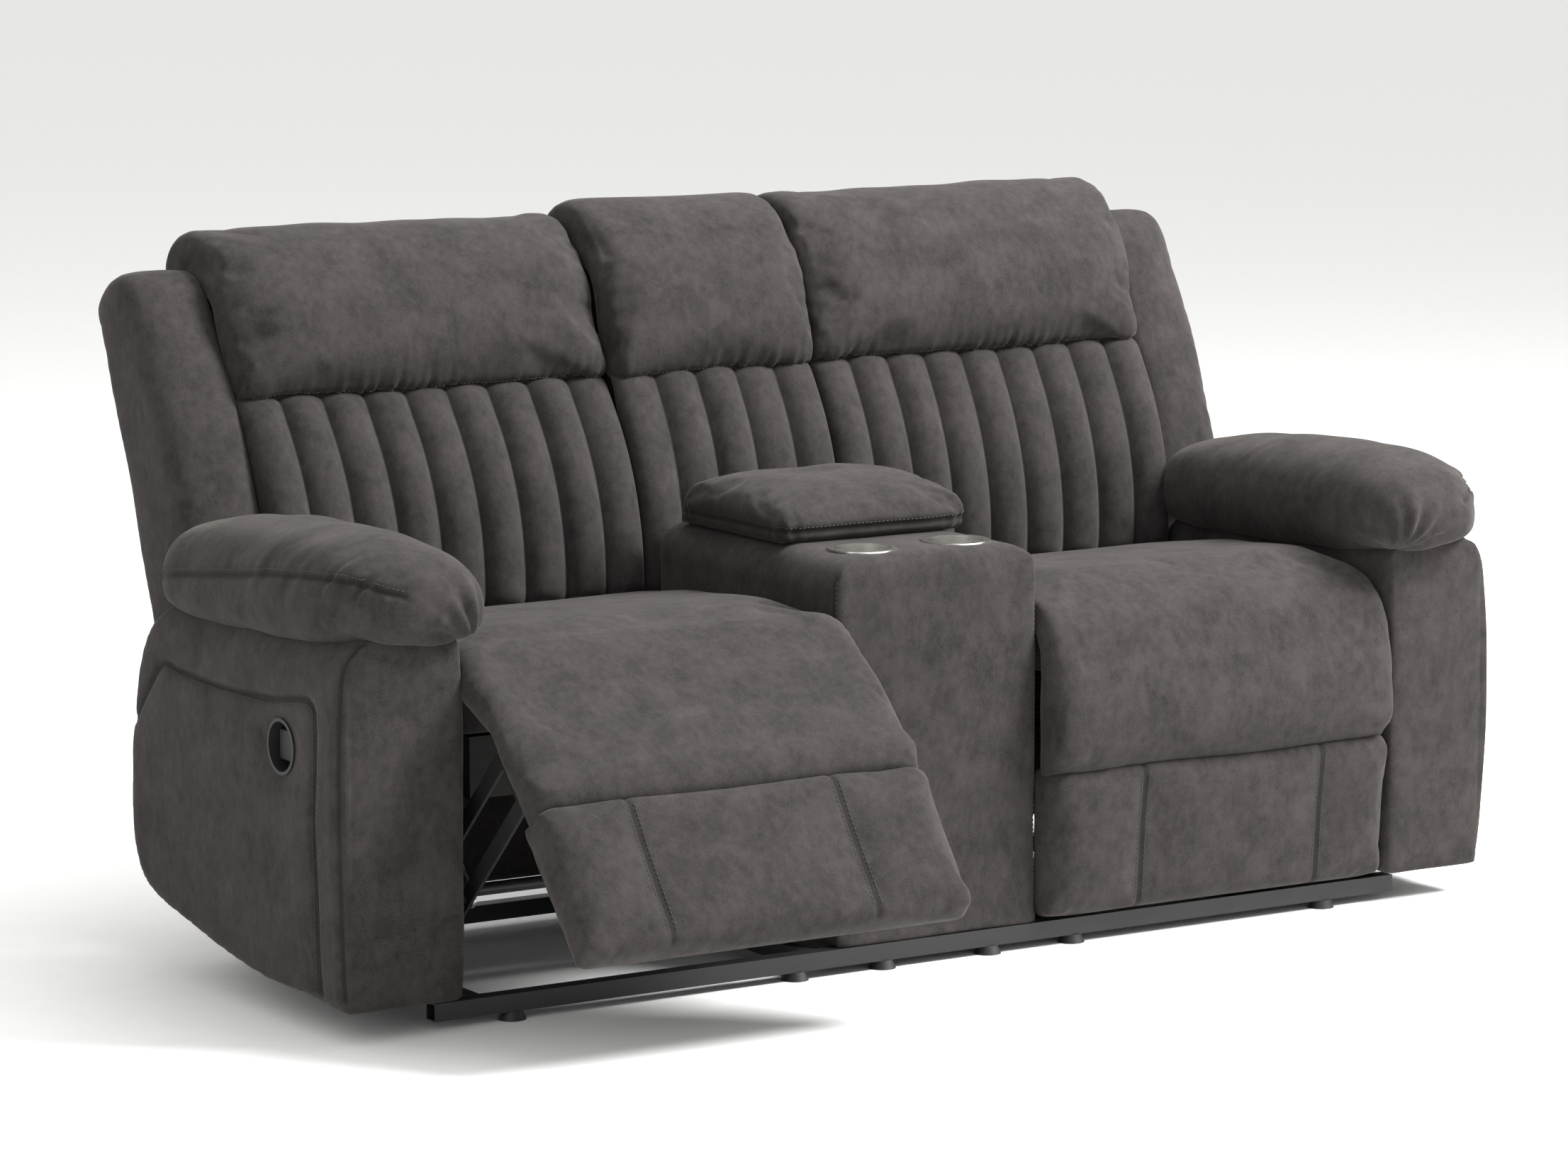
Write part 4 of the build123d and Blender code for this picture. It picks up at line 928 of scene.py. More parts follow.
class SOFA_OT_head_cushions(SofaOperator, bpy.types.Operator):
    """Stuffed head cushions over the tops of the backs, gathered along their lower hems"""
    bl_idname = "sofa.head_cushions"
    bl_label = "Head cushions"

    FRONT = ((-40, 381), (-70, 374), (-90, 379), (-101, 404), (-104, 450), (-101, 505), (-92, 555), (-76, 596),
             (-53, 629), (-27, 652), (10, 667), (45, 667), (77, 651), (97, 619))
    INSIDE = ((92, 590), (62, 566), (0, 556), (-24, 545), (-33, 518), (-34, 460), (-34, 400))
    EDGES = ((0, 15), (2, 9.5), (6, 5), (15, 1.8), (34, 0))
    HEM = (-76.0, 376.0)
    FOLDS, FOLD_DEPTH, FOLD_REACH = (0.017, 0.026, 0.041), 0.0016, 0.035
    SWELL_SHARE = 0.75

    def cushion(self, name, x, seed):
        soft = bpy.context.scene.sofa_soft
        outline = curve_through(self.FRONT + self.INSIDE, 120, closed=True) + HINGE
        rings = across(name, outline, x, self.EDGES)
        put(rings, turned(places_of(rings), in_metres(HINGE), LEAN))
        remeshed(rings, soft.voxel)
        eased(rings, 3)
        inside = back_line([(0, *point) for point in self.INSIDE])
        held = held_near(rings, [inside], 0.012, flat=True)
        swollen(rings, soft.pressure, soft.swell * self.SWELL_SHARE, held)
        finer(rings)
        roughened(rings, 0.0014, 0.12, seed)
        wide = np.linspace(x[0] + 14, x[1] - 14, 60)
        hem = laid_on(rings, back_line([(place, *self.HEM) for place in wide]))[0]
        self.gather(rings, hem, seed)
        seamed(rings, [hem], soft.seam_depth * 0.6, 0.006)
        return finished(rings, self.cloth()), self.sew(name + "_stitches", rings, [hem + (0, -0.007, 0.001)])

    def gather(self, piece, hem, seed):
        """Small folds that run up from the hem and die out."""
        points = places_of(piece)
        near = how_near(points, [hem])
        turns = np.random.default_rng(seed)
        folds = np.zeros(len(points))
        for width in self.FOLDS:
            folds += np.sin(2 * np.pi * points[:, 0] / width + turns.uniform(0, 6)) * turns.uniform(0.6, 1.0)
        strength = self.FOLD_DEPTH * bell(near, self.FOLD_REACH) * (0.6 + 0.4 * np.sin(points[:, 0] * 17 + seed))
        pushed(piece, strength * folds)

    def execute(self, context):
        right, right_sewing = self.cushion("right_head_cushion_cover", BACK_X, 5)
        centre, centre_sewing = self.cushion("centre_head_cushion_cover", CENTRE_X, 6)
        both_sides(right, right_sewing, "back", ["head_cushion"])
        fitted(centre, "frame", ["centre_head_cushion"])
        sewn_to(centre, centre_sewing)
        return {"FINISHED"}


class SOFA_OT_wings(SofaOperator, bpy.types.Operator):
    """Stuffed wings at the outer sides of the seat backs"""
    bl_idname = "sofa.wings"
    bl_label = "Wings"

    OUTLINE = ((-93, 205), (-91, 290), (-79, 385), (-62, 490), (-45, 560), (-22, 597), (10, 609), (48, 607),
               (84, 591), (98, 556), (100, 300), (98, 90), (80, 66), (40, 72), (-16, 96), (-58, 126), (-82, 160))
    EDGES = ((0, 22), (2.5, 15), (8, 8), (20, 3), (42, 0))
    TUCKED = 9.0
    SWELL_SHARE = 0.35
    HELD_SIDE = ((60, 120), (60, 500), (0, 500), (0, 200))
    REAR_SEAM = tuple((82, up) for up in (110, 250, 400, 545))

    def execute(self, context):
        soft = context.scene.sofa_soft
        x = width_of("right_wing")
        outline = curve_through(self.OUTLINE, 110, closed=True) + HINGE
        wing = across("right_wing_cover", outline, (x[0] - self.TUCKED, x[1] - 1), self.EDGES)
        put(wing, turned(places_of(wing), in_metres(HINGE), LEAN))
        remeshed(wing, soft.voxel)
        eased(wing, 3)
        side = back_line([(x[0], *point) for point in self.HELD_SIDE])
        swollen(wing, soft.pressure, soft.swell * self.SWELL_SHARE, held_near(wing, [side], 0.03))
        finer(wing)
        roughened(wing, 0.001, 0.14, 7)
        edge = [(x[1], *point) for point in self.REAR_SEAM]
        seam = laid_on(wing, back_line(curve_through(edge, 50)))[0]
        seamed(wing, [seam], soft.seam_depth * 0.6, 0.006)
        finished(wing, self.cloth())
        stitches = self.sew("right_wing_stitches", wing, [seam])
        both_sides(wing, stitches, "back", ["wing"])
        return {"FINISHED"}


class SOFA_OT_arms(SofaOperator, bpy.types.Operator):
    """Padded arm bodies with a wrapped front panel, a raised side panel and a pit for the pull cup"""
    bl_idname = "sofa.arms"
    bl_label = "Arms"

    OUTLINE = ((-453, 60), (-450, 44), (-440, 42), (-381, 46), (-194, 52), (-80, 68), (36, 91), (110, 110),
               (148, 132), (165, 170), (171, 230), (169, 315), (165, 368), (159, 412), (145, 458), (122, 494), (100, 513),
               (70, 533), (40, 540), (-150, 540), (-330, 540), (-370, 545), (-400, 551), (-430, 552), (-450, 552),
               (-453, 545), (-453, 300))
    EDGES = ((0, 10), (1.5, 6.5), (5, 3), (12, 0.6), (22, 0))
    PANEL = ((-380, 60), (-380, 200), (-381, 330), (-380, 425), (-374, 446), (-352, 455), (-300, 449), (-239, 441),
             (-93, 437), (23, 441), (70, 445), (103, 416), (133, 383), (157, 353))
    FRONT_SEAM = tuple((x, -446, up) for x, up in ((966, 62), (967, 200), (967, 400), (966, 470), (962, 500),
                                                   (955, 515), (944, 530), (931, 540)))
    FIELD_REST = ((180, 330), (180, 230), (150, 120), (36, 80), (-194, 40))
    PULL = (-280.0, 381.0)
    PIT_RADIUS, PIT_DEPTH, PIT_RIM = 36.6, 24.0, 0.042
    FRONT, TOP = -453, 552
    CORNER, SHOULDER, INNER_SHOULDER, NOSE = 22, 75, 42, 26
    PANEL_PUFF, BELLY, FRONT_PUFF = 0.0045, 0.008, 0.004
    STITCH_ASIDE, UPRIGHT_STITCHES = 0.007, 36

    def puffed(self, arm, seam):
        """Padding under the side panel and the wrapped front: full in the middle, flat at the seams."""
        points = places_of(arm)
        normals = outward(arm)
        outline = metres([(0, *point) for point in self.PANEL + self.FIELD_REST])[:, 1:]
        near = how_near(points, [seam])
        pull = np.hypot(*(points[:, 1:] - in_metres(self.PULL)).T)
        side = (normals[:, 0] > 0.7) & within(outline, points[:, 1:])
        full = ramp(near / 0.05) * ramp((pull - self.PIT_RIM) / 0.05)
        puff = np.where(side, self.PANEL_PUFF * full * (2 - full), 0)
        belly = (1 - ((points[:, 2] - 0.30) / 0.22) ** 2).clip(-0.4, 1)
        puff += np.where(normals[:, 0] > 0.5, ramp((pull - self.PIT_RIM) / 0.09) * self.BELLY * belly, 0)
        wrapped = np.sin(np.pi * ramp((points[:, 2] - 0.05) / 0.5)) ** 0.5
        puff += np.where(normals[:, 1] < -0.7, self.FRONT_PUFF * wrapped, 0)
        pushed(arm, puff)

    def execute(self, context):
        soft = context.scene.sofa_soft
        outline = curve_through(self.OUTLINE, 220, closed=True)
        arm = across("right_arm_body", outline, ARM_X, self.EDGES)
        remeshed(arm, soft.voxel)
        rounded_off(arm, (0, 1), (ARM_X[1], self.FRONT), (-1, 1), self.CORNER)
        rounded_off(arm, (0, 2), (ARM_X[1], self.TOP), (-1, -1), self.SHOULDER)
        rounded_off(arm, (0, 2), (ARM_X[0], self.TOP), (1, -1), self.INNER_SHOULDER)
        rounded_off(arm, (1, 2), (self.FRONT, self.TOP), (1, -1), self.NOSE)
        eased(arm, 2)
        finer(arm)
        panel = metres(curve_through([(ARM_X[1], *point) for point in self.PANEL], 90))
        seam = laid_on(arm, panel)[0]
        self.puffed(arm, seam)
        eased(arm, 2)
        roughened(arm, 0.0008, 0.15, 9)
        seam = laid_on(arm, panel)[0]
        seamed(arm, [seam], soft.seam_depth * 1.1, 0.006)
        front_seam = laid_on(arm, metres(curve_through(self.FRONT_SEAM, 70)))[0]
        seamed(arm, [front_seam], soft.seam_depth * 0.7, 0.0055)
        pit = self.PULL + self.PIT_RADIUS * np.column_stack([np.cos(full_turn(64)), np.sin(full_turn(64))])
        rings = [metres([(x, *point) for point in pit]) for x in (ARM_X[1] - self.PIT_DEPTH, ARM_X[1] + 30)]
        cut_out(arm, lofted("pit", rings))
        finished(arm, self.cloth())
        panel[:self.UPRIGHT_STITCHES, 1] += self.STITCH_ASIDE
        panel[self.UPRIGHT_STITCHES:, 2] -= self.STITCH_ASIDE
        stitches = self.sew("right_arm_stitches", arm, [panel])
        both_sides(arm, stitches, "frame", ["arm_cover", "arm_front"])
        return {"FINISHED"}


class SOFA_OT_arm_pads(SofaOperator, bpy.types.Operator):
    """Fat stuffed pads on the arms, with a seam round the side and puckers at the nose"""
    bl_idname = "sofa.arm_pads"
    bl_label = "Arm pads"

    # Back, bottom and top of each section, then how far it is drawn in at the inner and the outer side.
    STATIONS = ((-500, 568, 592, 50, 96), (-496, 556, 608, 34, 76), (-484, 545, 627, 18, 58), (-458, 537, 645, 7, 38),
                (-420, 532, 656, 2, 20), (-396, 528, 661, 0, 11), (-372, 524, 664, 0, 5), (-330, 519, 667, 0, 1),
                (-255, 515, 668, 0, 0), (-150, 511, 663, 0, 0), (-66, 509, 657, 0, 0), (0, 509, 650, 0, 0),
                (50, 511, 644, 0, 1), (80, 515, 638, 2, 6), (98, 526, 628, 9, 18), (107, 546, 610, 28, 40))
    SEAM = ((88, 569), (60, 572), (0, 580), (-81, 590), (-160, 600), (-240, 611), (-320, 620),
            (-390, 625), (-440, 624))
    NOSE = ((917, -480, 616), (890, -495, 606))
    DROP = 9.0
    SPLIT = 0.42
    UNDER = 0.524
    SWELL_SHARE = 0.6
    PUCKERS = (-0.455, 0.055)
    PUCKER_DEPTH, FAN_DEPTH, SHALLOW_DEPTH = 0.0040, 0.0034, 0.0012

    def execute(self, context):
        soft = context.scene.sofa_soft
        x = width_of("right_arm_pad", -1)
        turn = full_turn(56)
        wide = np.sign(np.cos(turn)) * np.abs(np.cos(turn)) ** 0.66
        tall = np.where(np.sin(turn) > 0, np.abs(np.sin(turn)) ** 0.9, -np.abs(np.sin(turn)) ** 0.5)
        rings = []
        for back, bottom, top, inner, outer in self.STATIONS:
            half = (x[1] - outer - x[0] - inner) / 2
            split = bottom + self.SPLIT * (top - bottom)
            up = np.where(tall > 0, split + (top - split) * tall, split + (split - bottom) * tall)
            up -= self.DROP * ramp(-wide) ** 2 * ramp(-tall)
            ring = [x[0] + inner + half * (1 + wide), np.full(len(turn), back), up]
            rings.append(metres(np.column_stack(ring)))
        pad = lofted("right_arm_pad_cover", rings)
        remeshed(pad, soft.voxel * 0.9)
        eased(pad, 3)
        stations = np.array(self.STATIONS, float)
        drawn = np.interp([point[0] for point in self.SEAM], stations[:, 0], stations[:, 4])
        side = [(x[1] - inset, *point) for inset, point in zip(drawn, self.SEAM)]
        loop = metres(curve_through(side + list(self.NOSE), 100))
        under = places_of(pad)[:, 2] < self.UNDER
        seams = [laid_on(pad, loop)[0]]
        held = np.maximum(held_near(pad, seams, 0.010) * 0.9, under)
        swollen(pad, soft.pressure, soft.swell * self.SWELL_SHARE, held)
        finer(pad)
        roughened(pad, 0.0012, 0.11, 11)
        seams = [laid_on(pad, loop)[0]]
        self.pucker(pad, seams)
        seamed(pad, seams, soft.seam_depth * 0.8, 0.0055)
        finished(pad, self.cloth())
        stitches = self.sew("right_arm_pad_stitches", pad, [seam + (0, 0, 0.007) for seam in seams])
        both_sides(pad, stitches, "frame", ["arm_pad"])
        return {"FINISHED"}

    def pucker(self, piece, seams):
        """Deep short folds across the seam where it turns into the nose, and shallow ones before them."""
        points = places_of(piece)
        near = how_near(points, seams)
        along = points[:, 1] - ARMS_MIDDLE
        sides = np.abs(np.abs(points[:, 0]) - np.abs(points[:, 0]).mean())
        turn = bell(along - self.PUCKERS[0], self.PUCKERS[1]) * ramp((sides - 0.05) / 0.03)
        slope = along + 0.35 * (points[:, 2] - 0.62)
        wave = np.sin(slope * 2 * np.pi / 0.026) + 0.6 * np.sin(slope * 2 * np.pi / 0.017 + 1.3)
        shallow = ramp((-0.10 - along) / 0.25) * (1 - turn)
        gentle = np.sin(slope * 2 * np.pi / 0.06) + 0.6 * np.sin(slope * 2 * np.pi / 0.037 + 2)
        aside, up = points[:, 0] - points[:, 0].min() - 0.03, points[:, 2] - 0.53
        fan, far = np.arctan2(up, aside), np.hypot(aside, up)
        front = ramp((-0.40 - along) / 0.06) * bell(far - 0.055, 0.035)
        depth = self.PUCKER_DEPTH * turn * bell(near, 0.030) * wave
        depth += self.FAN_DEPTH * front * (np.sin(fan * 15) + 0.5 * np.sin(fan * 9 + 1))
        depth += self.SHALLOW_DEPTH * shallow * bell(near, 0.04) * gentle
        pushed(piece, depth)


class SOFA_OT_console(SofaOperator, bpy.types.Operator):
    """Padded console body, open for the store under the lid and for the cup holders"""
    bl_idname = "sofa.console"
    bl_label = "Console"

    OUTLINE = ((-419, 50), (-417, 44), (-410, 42), (40, 42), (57, 45), (60, 60), (60, 560), (59, 583), (50, 588),
               (-100, 588), (-340, 588), (-400, 588), (-414, 586), (-419, 578), (-419, 500), (-419, 300))
    EDGES = ((0, 7), (1.5, 4), (5, 1.5), (12, 0))
    CASE = ((162.4, 20), (162.4, 545), (158, 558), (150, 572.6))
    CASE_Y = (-407.4, 90.0)
    STORE = ((-126, -218, 560), (126, -1, 640))
    CUPS = ((-79.0, -343.0), (79.0, -343.0))
    CUP_RADIUS = 44.2
    FRONT, TOP = -419, 588
    CORNER, SHOULDER, NOSE = 7, 50, 30
    SEAM_IN, SEAM_BACK = 4, -410

    def case(self):
        """The room of the wooden case, eased at its shoulders."""
        ring = self.CASE + tuple((-x, z) for x, z in reversed(self.CASE))
        return lofted("case", [metres([(x, back, z) for x, z in ring]) for back in self.CASE_Y])

    def boxed(self, name, low, high):
        ring = ((low[0], low[1]), (high[0], low[1]), (high[0], high[1]), (low[0], high[1]))
        return lofted(name, [metres([(x, y, z) for x, y in ring]) for z in (low[2], high[2])])

    def execute(self, context):
        soft = context.scene.sofa_soft
        x = width_of("console_cover")
        outline = curve_through(self.OUTLINE, 200, closed=True)
        body = across("console_body", outline, x, self.EDGES)
        remeshed(body, soft.voxel * 0.85)
        for edge, way in zip(x, (1, -1)):
            rounded_off(body, (0, 1), (edge, self.FRONT), (way, 1), self.CORNER)
            rounded_off(body, (0, 2), (edge, self.TOP), (way, -1), self.SHOULDER)
        rounded_off(body, (1, 2), (self.FRONT, self.TOP), (1, -1), self.NOSE)
        eased(body, 2)
        finer(body)
        roughened(body, 0.0006, 0.17, 13)
        seams = []
        for place in (x[0] + self.SEAM_IN, x[1] - self.SEAM_IN):
            line = [(place, self.SEAM_BACK, up) for up in np.linspace(55, 560, 40)]
            seams.append(laid_on(body, metres(line))[0])
        seamed(body, seams, soft.seam_depth * 0.6, 0.006)
        cut_out(body, self.case())
        cut_out(body, self.boxed("store", *self.STORE))
        rim = self.CUP_RADIUS * np.column_stack([np.cos(full_turn(64)), np.sin(full_turn(64))])
        for cup in self.CUPS:
            rings = [metres([(*point, up) for point in cup + rim]) for up in (500, 640)]
            cut_out(body, lofted("cup", rings))
        finished(body, self.cloth())
        fitted(body, "frame", ["console_cover", "console_deck"])
        sewn_to(body, self.sew("console_stitches", body, [seam + (0, -0.004, 0) for seam in seams]))
        return {"FINISHED"}


class SOFA_OT_lid(SofaOperator, bpy.types.Operator):
    """Stuffed console lid with a seam round its middle, gathered corners and a sewn dimple on top"""
    bl_idname = "sofa.lid"
    bl_label = "Console lid"

    OUTLINE = ((-246, 588.5), (-256, 598), (-259, 614), (-254, 632), (-234, 646), (-150, 658), (-70, 660),
               (-10, 655), (18, 640), (26, 616), (23, 598), (8, 589), (-130, 588.5), (-215, 588.5))
    EDGES = ((0, 17), (2, 11), (6, 6), (15, 2.4), (32, 0.5), (60, 0))
    WIDER = 3
    SEAM_UP = 606.0
    UNDER = 0.5965
    SWELL_SHARE = 0.45
    DIMPLE = (-10.0, -95.0, 657.0)
    DIMPLE_SIZE, DIMPLE_DEPTH, DIMPLE_ABOVE = (0.050, 0.030), 0.006, 0.63
    CORNER, CORNER_RAMP = (0.115, 0.095), 0.03
    FOLD_DEPTH, FOLD_REACH, FOLD_COUNT = 0.0022, 0.022, 60

    def execute(self, context):
        soft = context.scene.sofa_soft
        x = width_of("lid_pad", self.WIDER)
        outline = curve_through(self.OUTLINE, 110, closed=True)
        lid = across("lid_cover", outline, x, self.EDGES)
        remeshed(lid, soft.voxel * 0.7)
        eased(lid, 2)
        loop = [(x[0] + 16, -252), (x[1] - 16, -252), (x[1], -235), (x[1], 6), (x[1] - 16, 24), (x[0] + 16, 24),
                (x[0], 6), (x[0], -235)]
        ring = metres([(a, b, self.SEAM_UP) for a, b in curve_through(loop + loop[:1], 110)])
        held = np.maximum(held_near(lid, [ring], 0.010) * 0.9, places_of(lid)[:, 2] < self.UNDER)
        swollen(lid, soft.pressure, soft.swell * self.SWELL_SHARE, held)
        finer(lid)
        roughened(lid, 0.0008, 0.09, 15)
        ring = laid_on(lid, ring)[0]
        self.shape(lid, ring)
        seamed(lid, [ring], soft.seam_depth * 0.8, 0.006)
        finished(lid, self.cloth())
        fitted(lid, "console_lid", ["lid_pad"])
        sewn_to(lid, self.sew("lid_stitches", lid, [ring + (0, 0, 0.006)]))
        return {"FINISHED"}

    def shape(self, piece, ring):
        """Folds at the corners of the seam and the oval dimple on top."""
        points = places_of(piece)
        near = how_near(points, [ring])
        middle = ring.mean(0)
        out = np.abs(points[:, :2] - (0, middle[1]))
        corner = np.prod(ramp((out - self.CORNER) / self.CORNER_RAMP), axis=1)
        around = np.arctan2(points[:, 1] - middle[1], points[:, 0])
        depth = self.FOLD_DEPTH * corner * bell(near, self.FOLD_REACH) * np.sin(around * self.FOLD_COUNT)
        oval = (((points[:, :2] - metres(self.DIMPLE)[:2]) / self.DIMPLE_SIZE) ** 2).sum(1)
        sunk = self.DIMPLE_DEPTH * np.exp(-oval ** 2) * (points[:, 2] > self.DIMPLE_ABOVE)
        pushed(piece, depth - sunk)


class SOFA_OT_outside_backs(SofaOperator, bpy.types.Operator):
    """Plain upholstered outside backs of the seats and the centre, and the fixed panel under them"""
    bl_idname = "sofa.outside_backs"
    bl_label = "Outside backs"

    REAR, SKIN, SIDE_FRONT, TOP, SIDE_START = 101.0, 12.0, -28.0, 604.0, 58.0
    LEVELS = (-9, -7, -2, 10, 40, 56, 60, 72, 110, 200, 300, 400, 500, 560, 590, 599, 602, 603.5)
    BELLY = 3.0
    LOWER_ENDS = ((0, 5), (2, 3), (6, 1), (14, 0))
    LOWER_THICKNESS = 13.5

    def shell(self, name, x):
        """A panel with a side wall at each end: rings across its width, one above another."""
        rings = []
        for up in self.LEVELS:
            front = self.REAR - self.SKIN if up < self.SIDE_START else self.SIDE_FRONT
            soft = max(0.0, -up / 2, (up - 596) * 0.7)
            belly = self.BELLY * np.sin(np.pi * ramp(up / self.TOP))
            wide = np.linspace(x[0] + self.SKIN, x[1] - self.SKIN, 40)
            rise = belly * np.sin(np.pi * (wide - x[0]) / (x[1] - x[0]))
            outer = [(x[0] + soft, front), (x[0] + soft, self.REAR - 14), (x[0] + 2 + soft, self.REAR - 5),
                     (x[0] + 6 + soft, self.REAR - 1 - soft)]
            rear = list(zip(wide, self.REAR - soft + rise))
            far = [(x[0] + x[1] - a, b) for a, b in reversed(outer)]
            inner = [(x[1] - self.SKIN, front), (x[1] - self.SKIN, self.REAR - self.SKIN),
                     (x[0] + self.SKIN, self.REAR - self.SKIN), (x[0] + self.SKIN, front)]
            rings.append(metres(leaned([upright(a, b, up) for a, b in outer + rear + far + inner])))
        panel = lofted(name, rings)
        seams = [back_line([(place, self.REAR, up) for up in np.linspace(-5, 600, 40)])
                 for place in (x[0] + self.SKIN, x[1] - self.SKIN)]
        finer(panel)
        seams = [laid_on(panel, seam)[0] for seam in seams]
        seamed(panel, seams, 0.002, 0.005)
        finished(panel, self.cloth())
        return panel, self.sew(name + "_stitches", panel, [seam + (0, 0.004, 0) for seam in seams])

    def execute(self, context):
        right, right_sewing = self.shell("right_outside_back", BACK_X)
        centre, centre_sewing = self.shell("centre_outside_back", CENTRE_X)
        both_sides(right, right_sewing, "back", ["back_panel"])
        fitted(centre, "frame", ["centre_back_panel"])
        sewn_to(centre, centre_sewing)
        self.lower_panel()
        return {"FINISHED"}

    def lower_panel(self):
        """The fixed panel under the backs, sloping with them."""
        x = width_of("lower_back_panel")
        low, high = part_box("lower_back_panel")
        foot = (high[1] - ARMS_MIDDLE) * 1000
        top, bottom = high[2] * 1000, low[2] * 1000
        stations = [(x[0] + place, inset) for place, inset in self.LOWER_ENDS]
        stations += [(place * x[1], 0) for place in np.linspace(-0.9, 0.9, 13)]
        stations += [(x[1] - place, inset) for place, inset in reversed(self.LOWER_ENDS)]
        skin = []
        for place, inset in stations:
            ring = []
            for up in np.linspace(bottom + inset, top - inset, 20):
                edge = min(up - bottom, top - up)
                ring.append((place, foot + (up - top) * np.tan(LEAN) - inset - max(0.0, 4 - edge * 0.5), up))
            for up in np.linspace(top - inset, bottom + inset, 6):
                rear = foot + (up - top) * np.tan(LEAN)
                ring.append((place, rear - self.LOWER_THICKNESS + inset * 0.3, up))
            skin.append(metres(ring))
        panel = lofted("lower_back_cover", skin)
        finer(panel)
        finished(panel, self.cloth())
        fitted(panel, "frame", ["lower_back_panel"])


class SOFA_OT_fittings(SofaOperator, bpy.types.Operator):
    """Finishes of the wood, steel, webbing, cups and pulls that keep the shape of their solids"""
    bl_idname = "sofa.fittings"
    bl_label = "Fittings"

    ENAMEL = ("cross_rails", "base_rails", "side_plates", "rear_links", "footrest_brackets", "upper_couplers",
              "lower_couplers")
    ZINC = ("front_links", "lid_hinge")
    WOOD = ("console_box",)
    STAINED = ("centre_back_frame", "seat_box", "footrest_board", "back_frame", "lid_board", "arm_frame")
    PLASTIC = ("glide_feet", "pull_cups", "pull_paddle")

    def execute(self, context):
        finishes = context.scene.sofa_finishes
        groups = ((self.ENAMEL, steel_black_enamel(finishes), 0.0008), (self.ZINC, steel_zinc_plated(), 0.0006),
                  (self.STAINED, plywood_stained(), 0.001), (self.WOOD, plywood_sawn(), 0.001),
                  (self.PLASTIC, abs_moulded(finishes), 0.0007),
                  (("cup_holders",), stainless_spun(), 0.0005), (("seat_webbing",), webbing_woven(), 0.0004))
        for node, solid in frame["nodes"].items():
            if solid.hide_render:
                continue
            for names, material, edge in groups:
                if any(node == name or node.endswith("_" + name) for name in names):
                    solid.data.materials.clear()
                    solid.data.materials.append(material)
                    rounded = solid.modifiers.new("Eased edges", "BEVEL")
                    rounded.width = edge
                    rounded.segments = 2
                    rounded.limit_method = "ANGLE"
                    break
            else:
                raise RuntimeError("no finish for " + node)
        return {"FINISHED"}


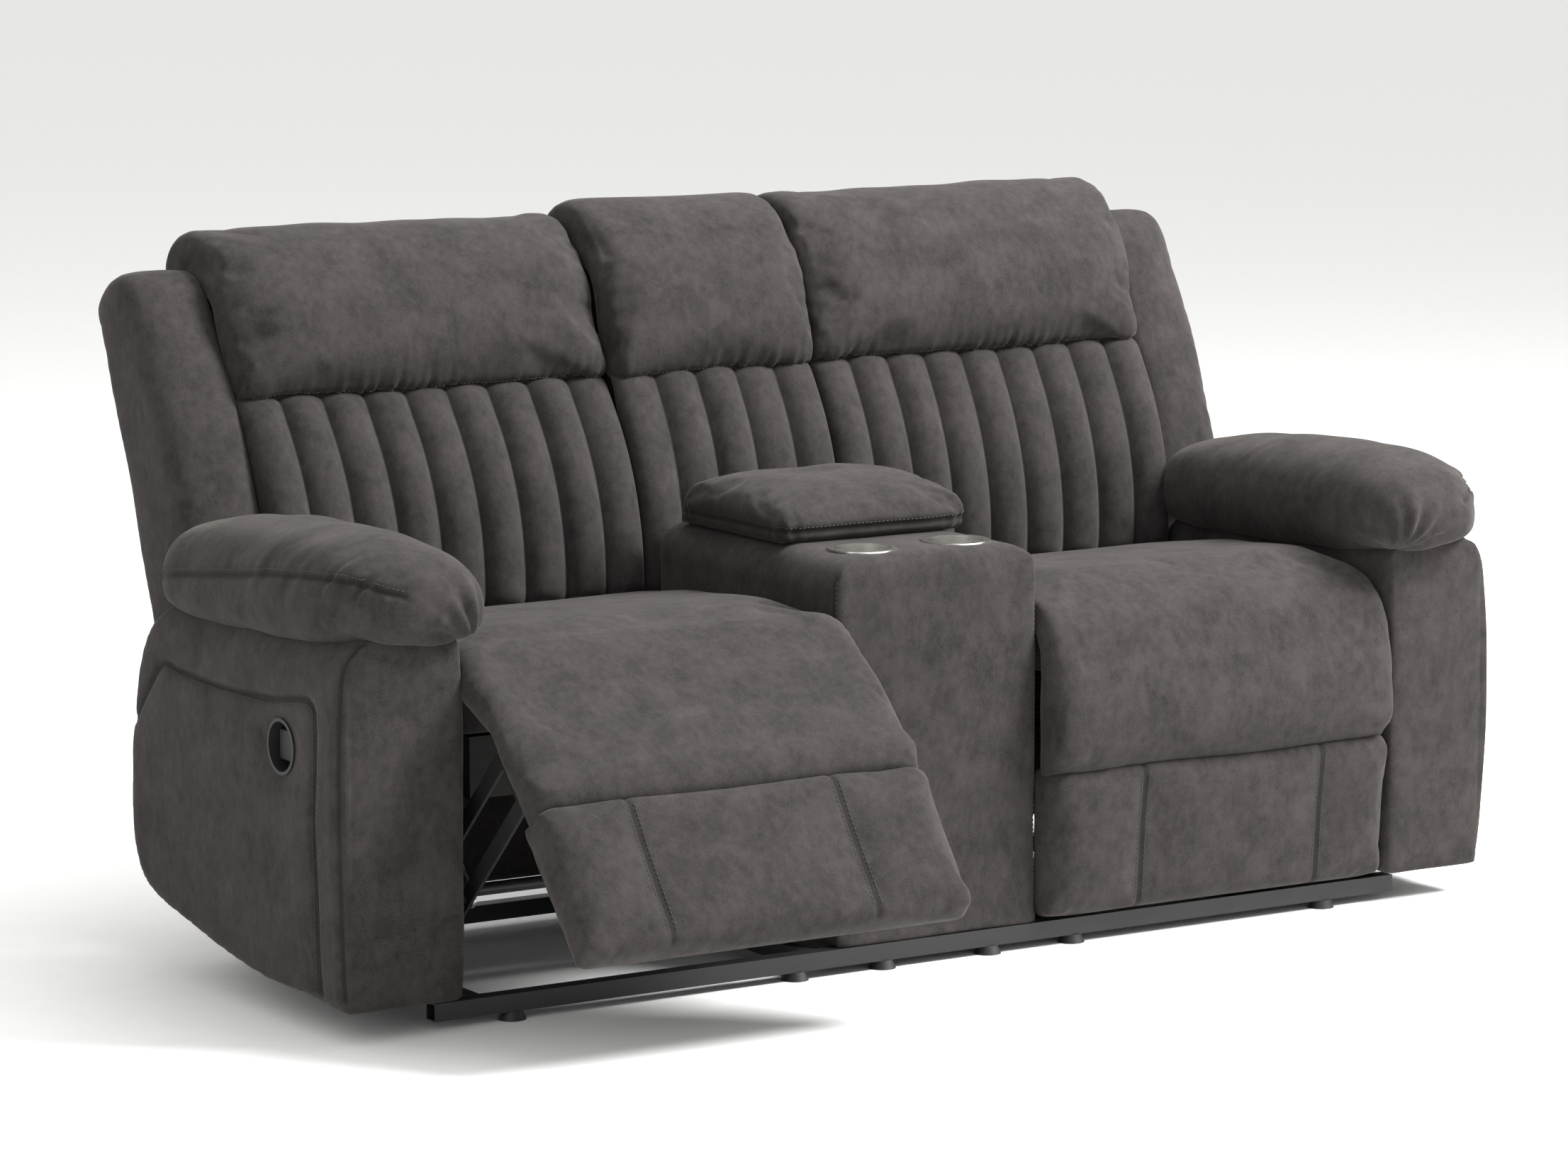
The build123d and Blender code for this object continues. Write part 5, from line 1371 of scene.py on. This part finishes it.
class SOFA_OT_stage(SofaOperator, bpy.types.Operator):
    """Pale floor, soft studio light and the camera"""
    bl_idname = "sofa.stage"
    bl_label = "Stage"

    CAMERA = (-4.2759, -6.6283, 1.6931)
    TARGET = (0.0068, 0.1630, 0.4784)
    SHIFT = 3.3 / 2212
    AIM = (0.0, 0.0, 0.45)
    KEY, KEY_SIZE = (3.2, -2.3, 4.2), 2.4
    FILL, FILL_SIZE = (-4.6, -3.0, 2.6), 3.6
    OVERHEAD, OVERHEAD_SIZE = (0.4, 0.4, 4.2), 3.0
    FLOOR_RADIUS, FLOOR_THICKNESS, FLOOR_SIDES = 40.0, 0.02, 96

    def lamp(self, name, place, size, power):
        light = bpy.data.lights.new(name, "AREA")
        light.shape = "DISK"
        light.size = size
        light.energy = power
        lamp = bpy.data.objects.new(name, light)
        lamp.location = place
        lamp.rotation_euler = (Vector(self.AIM) - Vector(place)).to_track_quat("-Z", "Y").to_euler()
        bpy.context.scene.collection.objects.link(lamp)

    def execute(self, context):
        stage = context.scene.sofa_stage
        turn = full_turn(self.FLOOR_SIDES)
        rim = self.FLOOR_RADIUS * np.column_stack([np.cos(turn), np.sin(turn)])
        rings = [np.column_stack([rim, np.full(self.FLOOR_SIDES, up)]) for up in (-self.FLOOR_THICKNESS, 0.0)]
        floor = finished(lofted("floor", rings), floor_paper(stage), smooth=False)
        self.lamp("key", self.KEY, self.KEY_SIZE, stage.key)
        self.lamp("fill", self.FILL, self.FILL_SIZE, stage.fill)
        self.lamp("top", self.OVERHEAD, self.OVERHEAD_SIZE, stage.fill * 3)
        world = bpy.data.worlds.new("studio")
        world.use_nodes = True
        sky = world.node_tree.nodes["Background"]
        sky.inputs["Color"].default_value = (1, 1, 1, 1)
        sky.inputs["Strength"].default_value = stage.sky
        context.scene.world = world
        lens = bpy.data.cameras.new("photo")
        lens.sensor_width = 36.0
        lens.lens = stage.lens
        lens.shift_y = self.SHIFT
        lens.clip_end = 200.0
        camera = bpy.data.objects.new("photo", lens)
        camera.location = self.CAMERA
        camera.rotation_euler = (Vector(self.TARGET) - Vector(self.CAMERA)).to_track_quat("-Z", "Y").to_euler()
        context.scene.collection.objects.link(camera)
        context.scene.camera = camera
        context.scene.view_settings.view_transform = "Standard"
        return {"FINISHED"}


PIECES = (SOFA_OT_seat_tops, SOFA_OT_footrest_panels, SOFA_OT_back_channels, SOFA_OT_head_cushions, SOFA_OT_wings,
          SOFA_OT_arms, SOFA_OT_arm_pads, SOFA_OT_console, SOFA_OT_lid, SOFA_OT_outside_backs, SOFA_OT_fittings,
          SOFA_OT_stage)


class SOFA_PT_panel(bpy.types.Panel):
    bl_idname = "SOFA_PT_panel"
    bl_label = "Recliner Sofa"
    bl_space_type = "VIEW_3D"
    bl_region_type = "UI"
    bl_category = "Recliner Sofa"

    def draw(self, context):
        for group in (context.scene.sofa_soft, context.scene.sofa_finishes, context.scene.sofa_stage):
            box = self.layout.box()
            for name in group.bl_rna.properties.keys():
                if name not in ("rna_type", "name"):
                    box.prop(group, name)
        for piece in PIECES:
            self.layout.operator(piece.bl_idname)


CLASSES = (SofaSoftGoods, SofaFinishes, SofaStage, *PIECES, SOFA_PT_panel)


def register():
    for kind in CLASSES:
        bpy.utils.register_class(kind)
    bpy.types.Scene.sofa_soft = bpy.props.PointerProperty(type=SofaSoftGoods)
    bpy.types.Scene.sofa_finishes = bpy.props.PointerProperty(type=SofaFinishes)
    bpy.types.Scene.sofa_stage = bpy.props.PointerProperty(type=SofaStage)


def unregister():
    for name in ("sofa_soft", "sofa_finishes", "sofa_stage"):
        delattr(bpy.types.Scene, name)
    for kind in reversed(CLASSES):
        bpy.utils.unregister_class(kind)


def main():
    register()
    for piece in PIECES:
        group, name = piece.bl_idname.split(".")
        getattr(getattr(bpy.ops, group), name)()


if __name__ == "__main__":
    main()
